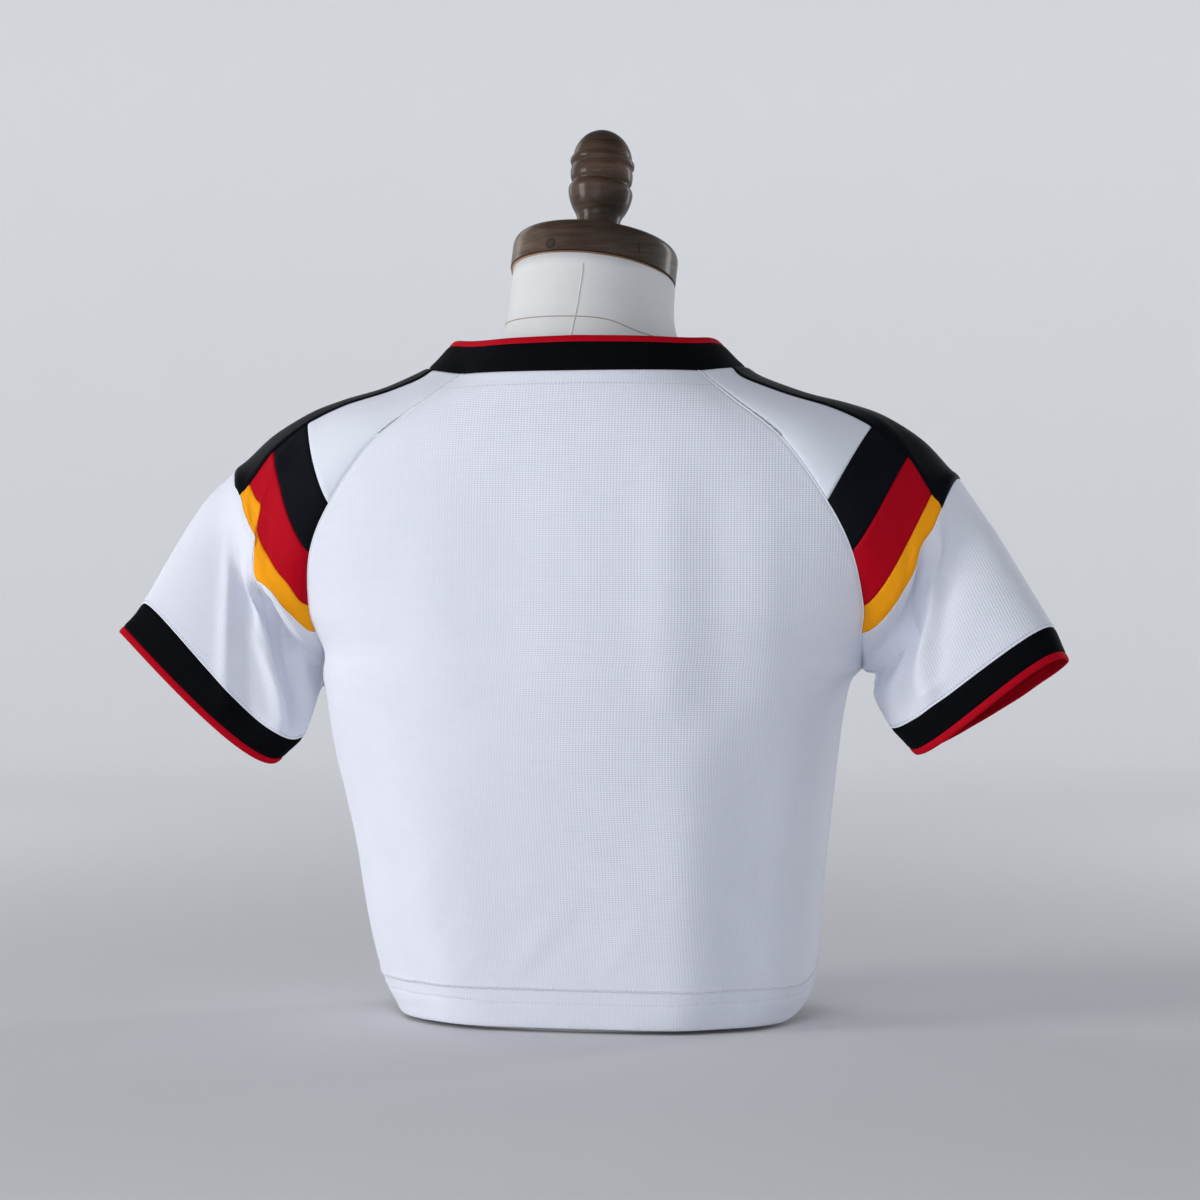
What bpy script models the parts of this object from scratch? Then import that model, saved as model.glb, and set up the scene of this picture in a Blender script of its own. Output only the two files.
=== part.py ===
"""Football crop top worn on a limbless dress form. Sizes in millimetres, Z up, back towards -Y."""
import math

import bpy
from mathutils import Vector

for old in list(bpy.data.objects):
    bpy.data.objects.remove(old, do_unlink=True)

MM = 0.001

# driving sizes
CLOTH = 1.4          # one layer of knit
DOUBLE = 2.2         # turned-up hem, collar and cuff
SEAM = 0.3           # clear line between two sewn pieces
HEM_TURN = 27.0      # height of the turned-up hem
BASE = 5.0           # height of the form's flat base in the tables below
HEM_BACK = 8.0       # hem edge at the back
HEM_RISE = 30.0      # how much higher the hem hangs at the front
ARMPIT_Z = 252.0
COLLAR_W = 22.0
TIP_W = 4.6          # red tubular edges
TIP_GAP = 0.25       # from the tubular edge to the line of its band
SIDE_Y = -4.0        # side seam line
ROUND = 2.4          # squareness of the torso rings
BAND_LAYER = 1.1     # shoulder strip thickness

# torso rings: height, half width, sideways sway, depth at the back, depth at the front
TORSO = [
    (6, 140, 3, 93, 112), (14, 144.5, 3.5, 93.5, 113), (24, 150, 3, 94, 114),
    (37, 155, 2, 94, 115), (60, 159.5, 0, 94, 117), (90, 163.5, -2, 95, 121),
    (124, 168, -3, 96, 127), (160, 174, -5, 98, 132), (187, 179, -7, 100, 136),
    (215, 183.5, -8, 101, 138), (238, 187.5, -7.5, 102.5, 138), (246, 190, -6.5, 102.8, 137.5),
    (252, 193, -3, 103, 137), (277, 196, -1, 104, 136), (296, 198, 0, 104.5, 134), (333, 200, 0, 104.5, 128),
    (360, 200, 0, 103.5, 119), (388, 200, 0, 101, 104), (409, 200, 0, 98, 88),
    (428, 200, 0, 94, 68), (438, 200, 0, 91.5, 58), (457, 200, 0, 86, 50),
]
# broad shape of the back and the front just below the armpits, away from the sides: height, half width, sway
BROAD = [(160, 174, -5), (187, 179.5, -5.5), (215, 185, -4.8), (238, 190, -3.6), (252, 193, -3)]

# sleeve stations from the collar (0) over the armpit (7) to the cuff edge (10)
# back raglan seam: station, x, y, z, then the pull of the cloth leaving the seam
BACK_SEAM = [
    (0, 83, -62, 458, 17, 9, 2), (1, 108, -76, 438, 14, 4, 6), (2, 144, -84, 409, 12, -2, 12),
    (3, 174, -84, 367, 11, -8, 20), (4, 190, -76, 333, 13, -16, 18), (5, 196, -57, 296, 18, -25, 15),
    (6, 194, -42, 277, 28, -34, 14), (7, 193, -4, 252, 12, -46, 6), (8, 199, -16, 232, 6, -42, 3),
    (9, 210, -29, 208, 2, -34, 1), (10, 224, -33, 193, 2, -33, 1),
]
# ridge along the shoulder and the top of the sleeve: station, x, y, z, roundness back and front
RIDGE = [
    (0, 117, -9, 463, 27, 22), (1, 149, -8, 449, 34, 32), (2, 180, -9, 440, 42, 40),
    (3, 205, -11, 430, 46, 44), (4, 231, -13, 412, 50, 46), (5, 250, -17, 391, 52, 46),
    (6, 259, -19, 381, 54, 46), (7, 274, -23, 361, 50, 44), (8, 298, -32, 326, 44, 40),
    (9, 324, -42, 288, 36, 36), (10, 335, -45, 271, 34, 34),
]
# front raglan seam: station, x, y, z and the pull of the cloth
FRONT_SEAM = [
    (0, 74, 50, 446, 20, -13, 5), (1, 98, 64, 428, 16, -5, 7), (2, 133, 74, 404, 12, 1, 13),
    (3, 165, 77, 366, 11, 6, 20), (4, 182, 68, 332, 13, 14, 18), (5, 189, 50, 296, 18, 22, 15),
    (6, 190, 36, 277, 26, 30, 14), (7, 193, -4, 252, 12, 42, 6), (8, 199, -16, 232, 6, 38, 3),
    (9, 210, -29, 208, 2, 34, 1), (10, 224, -33, 193, 2, 33, 1),
]
# how each sleeve hangs apart from the mean: station, ridge x, ridge z, underarm x, underarm z, depth factor,
# then how far the cloth sags along the sleeve: back near ridge, back near underarm, front near ridge, front low
HANG_RIGHT = [
    (0, -8, 0, 0, 0, 1, 0, 0, 0, 0), (0.4, -9, -1, 0, 0, 1, 0, 0, 0, 0), (1, 1, -4, 0, 0, 1, 0, 0, 0, 0),
    (3, 2, -3, 0, 0, 1, -4, 2, 0, 0), (5, 1, 0, 0, 0, 1, -3, 8, 0, 0), (6, 0, 2, 0, 0, 1, -8, 12, 0, 0),
    (7, 3, -4, 0, 0, 1, -4, 6, 0, 0), (7.35, 3, -4, 9, 4, 1, -5, 6, 1, 1), (8, 2, -5, 2, 2, 1.05, -8, 8, 3, 4),
    (9, 0, -7, 2, 5, 1.12, -14, 14, 6, 8), (10, -3, -8, 2, 5, 1.12, -18, 14, 6, 8),
]
HANG_LEFT = [
    (0, 2, 2, 0, 0, 1, 0, 0, 0, 0), (3, 0, 4, 0, 0, 1, -5, 0, 0, 0), (5, 0, 9, 0, 0, 1, -8, 10, 0, 0),
    (6, 0.5, 13, 0, 0, 1, -10, 15, 0, 0), (7, 8, 11, 0, 0, 1, -8, 12, 0, 0), (8, 6, 10, 0, 0, 0.9, -16, 18, 0, 4),
    (9, 1, 8, -2, -5, 0.85, -23, 28, -8, 6), (10, 3, 9, -1, -6, 0.82, -9, 18, -14, 5),
]
SLEEVE_AXIS = (0.52, -0.05, -0.85)
# shoulder strip: station, reach behind the ridge, reach in front of it
STRIP = [(0, 33, 25), (0.5, 45, 26), (1.2, 46, 27), (2, 43, 28), (3, 41, 29), (4, 43, 29), (5, 45, 30), (6, 46, 30)]
# front neckline: station, height at the centre front and depth there
NECK_FRONT = [(0, 424, 78), (1, 409, 90), (2, 387, 105), (3, 357, 119.5), (4, 328, 129), (5, 295, 134),
              (6, 277, 136), (7, 252, 137)]
NECK_BACK = [(0, 457, 86), (1, 439, 91.5), (2, 409, 98), (3, 367, 103), (4, 333, 104.5), (5, 296, 104.5),
             (6, 277, 104), (7, 252, 103)]
# lean of the collar towards the neck, degrees: quarter turn from the back (0) to the front (2)
COLLAR_LEAN = [(0, 20), (0.6, 32), (1, 44), (1.5, 36), (2, 26)]

# folds on the sleeves: side, station and place (0 back seam, 1 front seam) of both ends, half width, height
SLEEVE_FOLDS = [
    ("l", 6.9, 0.25, 8.7, 0.07, 9, 6), ("l", 6.8, 0.17, 8.2, 0.04, 9, -7), ("l", 7.3, 0.32, 9.2, 0.20, 9, 3),
    ("l", 7.6, 0.26, 9.0, 0.14, 8, -2.5), ("l", 6.8, 0.74, 9.8, 0.76, 11, 5), ("l", 6.7, 0.86, 9.2, 0.88, 9, -6),
    ("r", 6.4, 0.25, 8.3, 0.11, 8, -7), ("r", 6.6, 0.32, 8.5, 0.16, 8, 5.5), ("r", 7.4, 0.31, 8.7, 0.19, 9, -3),
    ("r", 6.8, 0.76, 9.6, 0.78, 11, 5), ("r", 6.7, 0.87, 9.2, 0.90, 9, -6), ("r", 7.2, 0.62, 9.8, 0.63, 12, -3),
]
# slack in the torso: angle from the side round to the front (negative: back), low and high end, width, height
TORSO_FOLDS = [
    (-62, 10, 190, 15, 2.5), (-118, 10, 215, 16, 3), (-90, 10, 150, 20, -2), (-40, 40, 235, 12, -3),
    (-142, 40, 235, 12, -3), (60, 20, 170, 14, 3), (90, 20, 150, 18, -3), (120, 20, 170, 14, 3),
    (35, 60, 235, 12, -3), (145, 60, 235, 12, -3),
]

# mesh fineness
ROWS_LOW = 10        # torso rows from hem line to armpit
ROWS_STATION = 2     # rows between two stations
COLS_TORSO = 9       # columns from the centre to the side
COLS_STRIP = 3       # columns across half the shoulder strip
COLS_SLEEVE = 11     # columns from ridge to seam


def blend(table, key, col):
    """Smooth value of one column of a table at a key of its first column."""
    last = len(table) - 1
    if key <= table[0][0]:
        return float(table[0][col])
    if key >= table[last][0]:
        return float(table[last][col])
    i = 0
    while table[i + 1][0] < key:
        i += 1
    k0, k1 = table[i][0], table[i + 1][0]
    p0, p1 = table[i][col], table[i + 1][col]
    slope = (p1 - p0) / (k1 - k0)
    m0 = slope if i == 0 else (p1 - table[i - 1][col]) / (k1 - table[i - 1][0])
    m1 = slope if i + 1 == last else (table[i + 2][col] - p0) / (table[i + 2][0] - k0)
    s = (key - k0) / (k1 - k0)
    h = k1 - k0
    return (p0 * (2 * s ** 3 - 3 * s * s + 1) + m0 * h * (s ** 3 - 2 * s * s + s)
            + p1 * (3 * s * s - 2 * s ** 3) + m1 * h * (s ** 3 - s * s))


def ease(low, high, value):
    s = min(1.0, max(0.0, (value - low) / (high - low)))
    return s * s * (3 - 2 * s)


def power(value, exponent):
    return math.copysign(abs(value) ** exponent, value)


# ---------------------------------------------------------------- torso
def ring_point(angle, z):
    """Point of the torso below the armpit; angle 0 right side, 90 front, -90 back."""
    a = math.radians(angle)
    depth = blend(TORSO, z, 4 if math.sin(a) > 0 else 3)
    half, sway, share = blend(TORSO, z, 1), blend(TORSO, z, 2), power(math.cos(a), 2 / ROUND)
    x = sway + half * share
    if 160 < z < 252:
        flat = blend(BROAD, z, 2) + blend(BROAD, z, 1) * share
        x = flat + (x - flat) * abs(share) ** 5
    y = SIDE_Y + depth * power(math.sin(a), 2 / ROUND)
    p = Vector((x, y, z))
    out = Vector((math.cos(a), math.sin(a) * 1.5, 0)).normalized()
    lift = 0.0
    for mid, low, high, width, height in TORSO_FOLDS:
        off = (angle - mid + 540) % 360 - 180
        ends = ease(low - 40, low + 10, z) * (1 - ease(high - 70, high, z))
        lift += height * math.exp(-(off / width) ** 2) * ends
    return p + out * lift * (1 - ease(215, 250, z))


def hem_height(y):
    return HEM_BACK + HEM_RISE * ease(-45, 60, y)


def low_point(angle, row):
    """row 0 at the hem edge, 1 at the armpit."""
    y = ring_point(angle, 20).y
    z0 = hem_height(y)
    return ring_point(angle, z0 + (ARMPIT_Z - z0) * row)


def high_point(u, t, front):
    """Upper torso between the raglan seams; u -1 left seam, 1 right seam; t station 7 to 0."""
    table, neck, sign = (FRONT_SEAM, NECK_FRONT, 1) if front else (BACK_SEAM, NECK_BACK, -1)
    ex, ey, ez = (blend(table, t, c) for c in (1, 2, 3))
    cz, cb = blend(neck, t, 1), blend(neck, t, 2)
    share = min(1.0, abs(ey - SIDE_Y) / cb)
    wide = ex / (1 - share ** ROUND) ** (1 / ROUND)
    end = math.acos(min(1.0, (ex / wide) ** (ROUND / 2)))
    a = math.pi / 2 + (end - math.pi / 2) * abs(u)
    x = wide * power(math.cos(a), 2 / ROUND)
    y = SIDE_Y + sign * cb * power(math.sin(a), 2 / ROUND)
    z = cz + (ez - cz) * (x / ex) ** 2
    return Vector((math.copysign(x, u) + blend(TORSO, ez, 2) * ease(320, 252, ez), y, z))


# ---------------------------------------------------------------- sleeves
def hang(side, t, col):
    return blend(HANG_RIGHT if side > 0 else HANG_LEFT, t, col)


def seam_point(side, t, front):
    if t <= 7:
        return high_point(side, t, front)
    table = FRONT_SEAM if front else BACK_SEAM
    x, y, z = (blend(table, t, c) for c in (1, 2, 3))
    sway = blend(TORSO, ARMPIT_Z, 2) * (1 - ease(7, 9, t))
    return Vector((side * (x + hang(side, t, 3)) + sway, y, z + hang(side, t, 4)))


def ridge_point(side, t):
    x, y, z = (blend(RIDGE, t, c) for c in (1, 2, 3))
    return Vector((side * (x + hang(side, t, 1)), y, z + hang(side, t, 2)))


def section(side, t, front):
    """Sampled curve from the ridge down to the seam, with its running length."""
    table, sign = (FRONT_SEAM, 1) if front else (BACK_SEAM, -1)
    top, low = ridge_point(side, t), seam_point(side, t, front)
    deep = hang(side, t, 5)
    pull = Vector((side * blend(table, t, 4), blend(table, t, 5) * deep, blend(table, t, 6)))
    roll = Vector((0, sign * blend(RIDGE, t, 5 if front else 4) * deep, 0))
    axis = Vector((side * SLEEVE_AXIS[0], SLEEVE_AXIS[1], SLEEVE_AXIS[2]))
    roll += axis * hang(side, t, 8 if front else 6)
    pull += axis * hang(side, t, 9 if front else 7)
    pts = []
    for k in range(49):
        s = k / 48
        pts.append(top * (1 - s) ** 3 + (top + roll) * 3 * s * (1 - s) ** 2
                   + (low + pull) * 3 * s * s * (1 - s) + low * s ** 3)
    run = [0.0]
    for a, b in zip(pts, pts[1:]):
        run.append(run[-1] + (b - a).length)
    return pts, run


def along(pts, run, d):
    d = min(max(d, 0.0), run[-1])
    k = 1
    while k < len(run) - 1 and run[k] < d:
        k += 1
    s = (d - run[k - 1]) / max(run[k] - run[k - 1], 1e-9)
    return pts[k - 1].lerp(pts[k], s)


def strip_reach(t, front):
    return blend(STRIP, t, 2 if front else 1)


def section_row(side, t):
    """Points of one station from the back seam over the ridge to the front seam."""
    row = []
    for front in (False, True):
        pts, run = section(side, t, front)
        reach = strip_reach(min(t, 6.0), front)
        half = []
        for k in range(COLS_SLEEVE + 1):
            if k <= COLS_STRIP:
                d = reach * k / COLS_STRIP
            else:
                d = reach + (run[-1] - reach) * (k - COLS_STRIP) / (COLS_SLEEVE - COLS_STRIP)
            half.append(along(pts, run, d))
        row = half[::-1] if not front else row + half[1:]
    return row


def sleeve_row(side, t):
    """Station row with its folds pushed out or in."""
    row = section_row(side, t)
    if t < 5:
        return row
    near = section_row(side, t - 0.1)
    total = sum((b - a).length for a, b in zip(row, row[1:]))
    out, run = [], 0.0
    key = "r" if side > 0 else "l"
    for j, p in enumerate(row):
        if j:
            run += (p - row[j - 1]).length
        u = run / total
        lift = 0.0
        for who, t0, u0, t1, u1, width, height in SLEEVE_FOLDS:
            if who == key:
                s = min(1.0, max(0.0, (t - t0) / (t1 - t0)))
                off = (u - u0 - (u1 - u0) * s) * total
                over = max(0.0, t0 - t, t - t1) * 30
                lift += height * math.exp(-(off / width) ** 2 - (over / 14) ** 2)
        if t < 7:
            lift *= min(1.0, min(u, 1 - u) * total / 18)
        else:
            lift *= 0.35 + 0.65 * min(1.0, min(u, 1 - u) * total / 18)
        a = row[j + 1] if j + 1 < len(row) else row[1]
        b = row[j - 1] if j else row[-2]
        normal = (a - b).cross(p - near[j])
        if normal.length > 1e-6:
            p = p + normal.normalized() * (-lift if side > 0 else lift)
        out.append(p)
    if t >= 7:
        out[-1] = out[0]
    return out


# ---------------------------------------------------------------- meshes
def steps(t0, t1, count=ROWS_STATION):
    n = max(1, round((t1 - t0) * count))
    return [t0 + (t1 - t0) * k / n for k in range(n + 1)]


def grid_faces(rows, flip=False):
    """Quads of a grid of points, turned so that they face out of the garment."""
    faces = []
    for r0, r1 in zip(rows, rows[1:]):
        for j in range(len(r0) - 1):
            q = [r0[j], r0[j + 1], r1[j + 1], r1[j]]
            faces.append(q[::-1] if flip else q)
    return faces


def key_of(p):
    return (round(p.x, 3), round(p.y, 3), round(p.z, 3))


def point_normals(groups):
    """Mean normal at every point of the given sets of quads."""
    total = {}
    for faces in groups:
        for q in faces:
            n = (q[2] - q[0]).cross(q[3] - q[1])
            for p in q:
                k = key_of(p)
                total[k] = total.get(k, Vector()) + n
    return {k: n.normalized() for k, n in total.items()}


def wall_normals(family, shared):
    """Normals shared across flat seams, and the family's own ones at a sharp crease such as the armpit."""
    result = {}
    for k, own in point_normals(family).items():
        both = shared[k]
        result[k] = own.lerp(both, ease(0.6, 0.9, own.dot(both))).normalized()
    return result


def family_of(name):
    """Torso, one sleeve or the collar."""
    return "torso" if name in ("back", "front") else name if name == "collar" else name[-1]


def material(name, colour, rough, metal=0.0):
    mat = bpy.data.materials.new(name)
    mat.use_nodes = True
    shader = mat.node_tree.nodes["Principled BSDF"]
    shader.inputs["Base Color"].default_value = (*colour, 1)
    shader.inputs["Roughness"].default_value = rough
    shader.inputs["Metallic"].default_value = metal
    return mat


def make_object(name, verts, faces, mat):
    mesh = bpy.data.meshes.new(name)
    mesh.from_pydata([(v.x * MM, v.y * MM, (v.z - BASE) * MM) for v in verts], [], faces)
    mesh.materials.append(mat)
    mesh.update()
    obj = bpy.data.objects.new(name, mesh)
    bpy.context.scene.collection.objects.link(obj)
    return obj


def wall(name, faces, normals, mat, thick, lift=0.0, gap=SEAM / 2):
    """Closed wall below a set of quads; thick is a number or a function of the point."""
    index, pts, quads = {}, [], []
    for q in faces:
        ids = []
        for p in q:
            k = key_of(p)
            if k not in index:
                index[k] = len(pts)
                pts.append(p)
            if index[k] not in ids:
                ids.append(index[k])
        if len(ids) > 2:
            quads.append(ids)
    edges = {}
    for q in quads:
        for a, b in zip(q, q[1:] + q[:1]):
            edges[(a, b)] = edges.get((a, b), 0) + 1
    border = [e for e in edges if (e[1], e[0]) not in edges]
    halves = []
    for q in quads:
        if len(q) == 3:
            halves.append(q)
        elif (pts[q[0]] - pts[q[2]]).length < (pts[q[1]] - pts[q[3]]).length:
            halves += [[q[0], q[1], q[2]], [q[0], q[2], q[3]]]
        else:
            halves += [[q[0], q[1], q[3]], [q[1], q[2], q[3]]]
    norm = [normals[key_of(p)] for p in pts]
    shift = [Vector() for _ in pts]
    for a, b in border:
        inward = ((norm[a] + norm[b]).cross(pts[b] - pts[a])).normalized()
        shift[a] += inward
        shift[b] += inward
    outer, inner = [], []
    for p, n, s in zip(pts, norm, shift):
        if s.length > 1e-6:
            s = s.normalized() * gap
        t = thick(p) if callable(thick) else thick
        outer.append(p + n * lift + s)
        inner.append(p + n * (lift - t) + s)
    m = len(pts)
    shell = halves + [[i + m for i in q[::-1]] for q in halves]
    for a, b in border:
        if key_of(pts[a]) < key_of(pts[b]):
            shell += [[b, a, b + m], [a, a + m, b + m]]
        else:
            shell += [[b, a, a + m], [b, a + m, b + m]]
    return make_object(name, outer + inner, shell, mat)


def torso_rows(front, low_rows):
    """Rows of the back or the front panel from the hem to the collar."""
    rows = []
    for row in low_rows:
        line = []
        for j in range(-COLS_TORSO, COLS_TORSO + 1):
            u = j / COLS_TORSO
            angle = (90 - 90 * u) if front else (-90 + 90 * u)
            line.append(low_point(angle, row))
        rows.append(line)
    for t in reversed(steps(0, 7)):
        if t < 7:
            rows.append([high_point(j / COLS_TORSO, t, front) for j in range(-COLS_TORSO, COLS_TORSO + 1)])
    return rows


def hem_thick(p):
    return DOUBLE if p.z < hem_height(p.y) + HEM_TURN + 1.0 else CLOTH


hem_share = HEM_TURN / (ARMPIT_Z - HEM_BACK)
LOW = [0.0, hem_share * 0.5, hem_share, hem_share + 0.012]
LOW += [LOW[3] + (1 - LOW[3]) * (k + 1) / ROWS_LOW for k in range(ROWS_LOW)]

back_rows = torso_rows(False, LOW)
front_rows = torso_rows(True, LOW)
pieces = {"back": grid_faces(back_rows), "front": grid_faces(front_rows, True)}

SPLITS = [("sleeve_top", 0, 3), ("band_black", 3, 4), ("band_red", 4, 5), ("band_gold", 5, 6),
          ("sleeve_low", 6, 9), ("cuff", 9, 10)]
strips = {}
for side, tag in ((1, "r"), (-1, "l")):
    for name, t0, t1 in SPLITS:
        rows = [sleeve_row(side, t) for t in steps(t0, t1, 3 if name == "sleeve_low" else ROWS_STATION)]
        pieces[name + "_" + tag] = grid_faces(rows, side > 0)
    mid = COLS_SLEEVE
    rows = [sleeve_row(side, t)[mid - COLS_STRIP:mid + COLS_STRIP + 1] for t in steps(0, 6)]
    strips["shoulder_" + tag] = grid_faces(rows, side > 0)


def neck_ring():
    """Seam line of the collar: back, right side, front, left side."""
    ring = list(back_rows[-1])
    ring += sleeve_row(1, 0)[1:]
    ring += front_rows[-1][::-1][1:]
    ring += sleeve_row(-1, 0)[::-1][1:]
    return ring[:-1]


def collar_row(ring, reach):
    """Ring moved up the collar by its width."""
    row = []
    for k, p in enumerate(ring):
        a, b = ring[k - 1], ring[(k + 1) % len(ring)]
        tangent = (b - a).normalized()
        inward = Vector((0, 0, 1)).cross(tangent).normalized()
        turn = 1 + math.atan2(p.y + 10, abs(p.x) * 0.6) / (math.pi / 2)
        lean = math.radians(blend(COLLAR_LEAN, turn, 1))
        bow = 1.2 * math.sin(math.pi * min(1.0, reach / (COLLAR_W + TIP_W)))
        up = inward.cross(tangent) * -1
        step = inward * math.sin(lean) + up * math.cos(lean)
        out = inward * -math.cos(lean) + up * math.sin(lean)
        row.append(p + step * reach + out * bow)
    return row + row[:1]


ring = neck_ring()
collar_rows = [collar_row(ring, COLLAR_W * k / 3) for k in range(4)]
pieces["collar"] = grid_faces(collar_rows)

normals = point_normals(pieces.values())

WHITE = material("cloth_white", (0.72, 0.76, 0.85), 0.75)
BLACK = material("cloth_black", (0.012, 0.015, 0.02), 0.5)
RED = material("cloth_red", (0.48, 0.006, 0.02), 0.6)
GOLD = material("cloth_gold", (0.85, 0.38, 0.02), 0.6)
LINEN = material("form_linen", (0.66, 0.67, 0.68), 0.85)
WOOD = material("form_wood", (0.05, 0.03, 0.022), 0.35)
COLOURS = {"band_black": BLACK, "band_red": RED, "band_gold": GOLD, "cuff": BLACK, "collar": BLACK}

families = {family_of(name) for name in pieces}
own = {f: wall_normals([faces for name, faces in pieces.items() if family_of(name) == f], normals)
       for f in families}
for name, faces in pieces.items():
    mat = COLOURS.get(name.rsplit("_", 1)[0], COLOURS.get(name, WHITE))
    thick = hem_thick if name in ("back", "front") else CLOTH
    if name.startswith("cuff") or name == "collar":
        thick = DOUBLE
    wall(name, faces, own[family_of(name)], mat, thick, gap=0.3 if name.startswith("cuff") else SEAM / 2)
for name, faces in strips.items():
    wall(name, faces, own[name[-1]], BLACK, BAND_LAYER, lift=SEAM + BAND_LAYER)


def tube(name, rows, mat, rising):
    """Closed ring of a rounded section; rows are rings of points in order round the section."""
    count = len(rows[0])
    verts = [p for row in rows for p in row]
    faces = []
    for r in range(len(rows)):
        n = (r + 1) % len(rows)
        for j in range(count):
            k = (j + 1) % count
            a, b, c, d = r * count + j, r * count + k, n * count + k, n * count + j
            faces += [[a, b, c], [a, c, d]] if (key_of(verts[a]) < key_of(verts[b])) == rising else [[a, b, d], [b, c, d]]
    make_object(name, verts, faces, mat)


def edge_tube(name, ring, before, normals_at, mat, wide, thick, flip=False):
    """Tubular edge standing on a piece's last row; before is the row in front of it."""
    rows = []
    for along_edge, out in ((0, 0.1), (0.5, 0.5), (1.0, 0.0), (1.0, -1.0), (0.5, -1.5), (0, -1.1)):
        row = []
        for k, p in enumerate(ring):
            n = normals_at[k]
            step = p - before[k]
            step = (step - n * step.dot(n)).normalized()
            row.append(p + step * (TIP_GAP + along_edge * (wide - TIP_GAP)) + n * out * thick / 2)
        rows.append(row)
    tube(name, rows[::-1] if flip else rows, mat, flip)


top, under = collar_rows[-1][:-1], collar_rows[-2][:-1]
edge_tube("collar_tip", top, under, [own["collar"][key_of(p)] for p in top], RED, TIP_W, DOUBLE)
for side, tag in ((1, "r"), (-1, "l")):
    edge, before = sleeve_row(side, 10)[:-1], sleeve_row(side, 9.5)[:-1]
    edge_tube("cuff_tip_" + tag, edge, before, [own[tag][key_of(p)] for p in edge], RED, TIP_W, DOUBLE,
              flip=side > 0)


# ---------------------------------------------------------------- dress form
# form rings: height, half width, depth back, depth front, forward offset, squareness
FORM = [
    (5, 126, 84, 84, 0, 2.2), (25, 121, 80, 82, 0, 2.2), (55, 118, 79, 84, 0, 2.2), (90, 123, 83, 92, 0, 2.2),
    (130, 134, 89, 105, 0, 2.2), (175, 147, 94, 120, 0, 2.2), (215, 155, 97, 128, 0, 2.2),
    (260, 160, 99, 126, 0, 2.3), (300, 165, 100.5, 119, 0, 2.4), (340, 173, 101, 108, 0, 2.5),
    (375, 181, 100, 92, 0, 2.5), (388, 184, 98.4, 84, 0, 2.4), (400, 186, 96.5, 76, 0, 2.4),
    (415, 186, 92, 64, -1, 2.2), (426, 182, 87, 58, -2, 2.1), (436, 166.5, 82, 52, -3, 2.1),
    (446, 138.5, 76, 47, -3, 2.0), (455, 113.5, 70, 45, -2, 2.0), (465, 86, 65, 46, 0, 2.0),
    (478, 68, 61, 49, 3, 2.0), (495, 61, 57.5, 51, 7, 2.0), (515, 58.5, 57, 55, 9, 2.0),
    (528, 58, 57, 57, 10, 2.0),
]
FORM_COLS = 32
NECK_LEAN = -5.0
NECK_TILT = Vector((0.073, 0.225, 0.97)).normalized()
CAP_R, CAP_H = 59.5, 28.0
CAP_MID = Vector((-3.0, 11.0, 542.0))
FINIAL = [
    (0, 15), (8, 15.5), (16, 16.5), (24, 19), (34, 20.8), (40, 22.6), (43, 23), (46, 22.4), (47.5, 21),
    (49, 21.2), (51, 22.3), (57, 22.3), (59, 23), (62, 23), (64, 22.2), (70, 20.4), (77, 16), (82, 10), (84.4, 4.5),
]


def form_ring(z):
    half, deep_b, deep_f, off, n = (blend(FORM, z, c) for c in (1, 2, 3, 4, 5))
    lean = NECK_LEAN * (ease(400, 475, z) - 0.5 * ease(490, 530, z))
    row = []
    for k in range(FORM_COLS):
        a = 2 * math.pi * (k + 0.5) / FORM_COLS
        d = deep_f if math.sin(a) > 0 else deep_b
        row.append(Vector((half * power(math.cos(a), 2 / n) + lean, SIDE_Y + off + d * power(math.sin(a), 2 / n), z)))
    return row


def closed_rings(name, rows, mat):
    """Solid of stacked rings with flat ends."""
    count = len(rows[0])
    verts = [p for row in rows for p in row]
    faces = [list(range(count))[::-1], [len(verts) - count + j for j in range(count)]]
    for r in range(len(rows) - 1):
        for j in range(count):
            k = (j + 1) % count
            faces.append([r * count + j, r * count + k, (r + 1) * count + k, (r + 1) * count + j])
    return make_object(name, verts, faces, mat)


levels = [BASE, 25, 55, 90, 130, 175, 215, 260, 300, 340, 360, 375, 388, 400, 408, 415, 421, 426, 431, 436,
          441, 446, 451, 456, 461, 467, 478, 495, 512]
body = [form_ring(z) for z in levels]
base = CAP_MID - NECK_TILT * (CAP_H / 2 + 0.35)
neck_top = []
for p in form_ring(528):
    drop = (p - base).dot(NECK_TILT) / NECK_TILT.z
    neck_top.append(Vector((p.x, p.y, p.z - drop)))
body.append(neck_top)
closed_rings("form_body", body, LINEN)

axis_x = Vector((1, 0, 0)) - NECK_TILT * NECK_TILT.x
axis_x.normalize()
axis_y = NECK_TILT.cross(axis_x)


def turned(name, foot, profile, mat, cols):
    rows = []
    for h, r in profile:
        row = []
        for k in range(cols):
            a = 2 * math.pi * k / cols
            row.append(foot + NECK_TILT * h + (axis_x * math.cos(a) + axis_y * math.sin(a)) * r)
        rows.append(row)
    closed_rings(name, rows, mat)


half_cap = NECK_TILT * (CAP_H / 2)
turned("form_cap", CAP_MID - half_cap,
       [(0, CAP_R - 1.5), (1.2, CAP_R), (CAP_H - 6, CAP_R), (CAP_H - 3, CAP_R - 1.2), (CAP_H - 0.8, CAP_R - 4),
        (CAP_H, CAP_R - 7.5)],
       WOOD, 40)
turned("form_finial", CAP_MID + half_cap + NECK_TILT * 0.35, FINIAL, WOOD, 20)
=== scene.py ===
"""Football crop top worn on a limbless dress form, seen from the back.

Tables are in millimetres, Z up, with the back towards -Y.
"""

import bisect
import math

import bpy
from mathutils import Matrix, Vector
from mathutils.bvhtree import BVHTree
from mathutils.kdtree import KDTree


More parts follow.
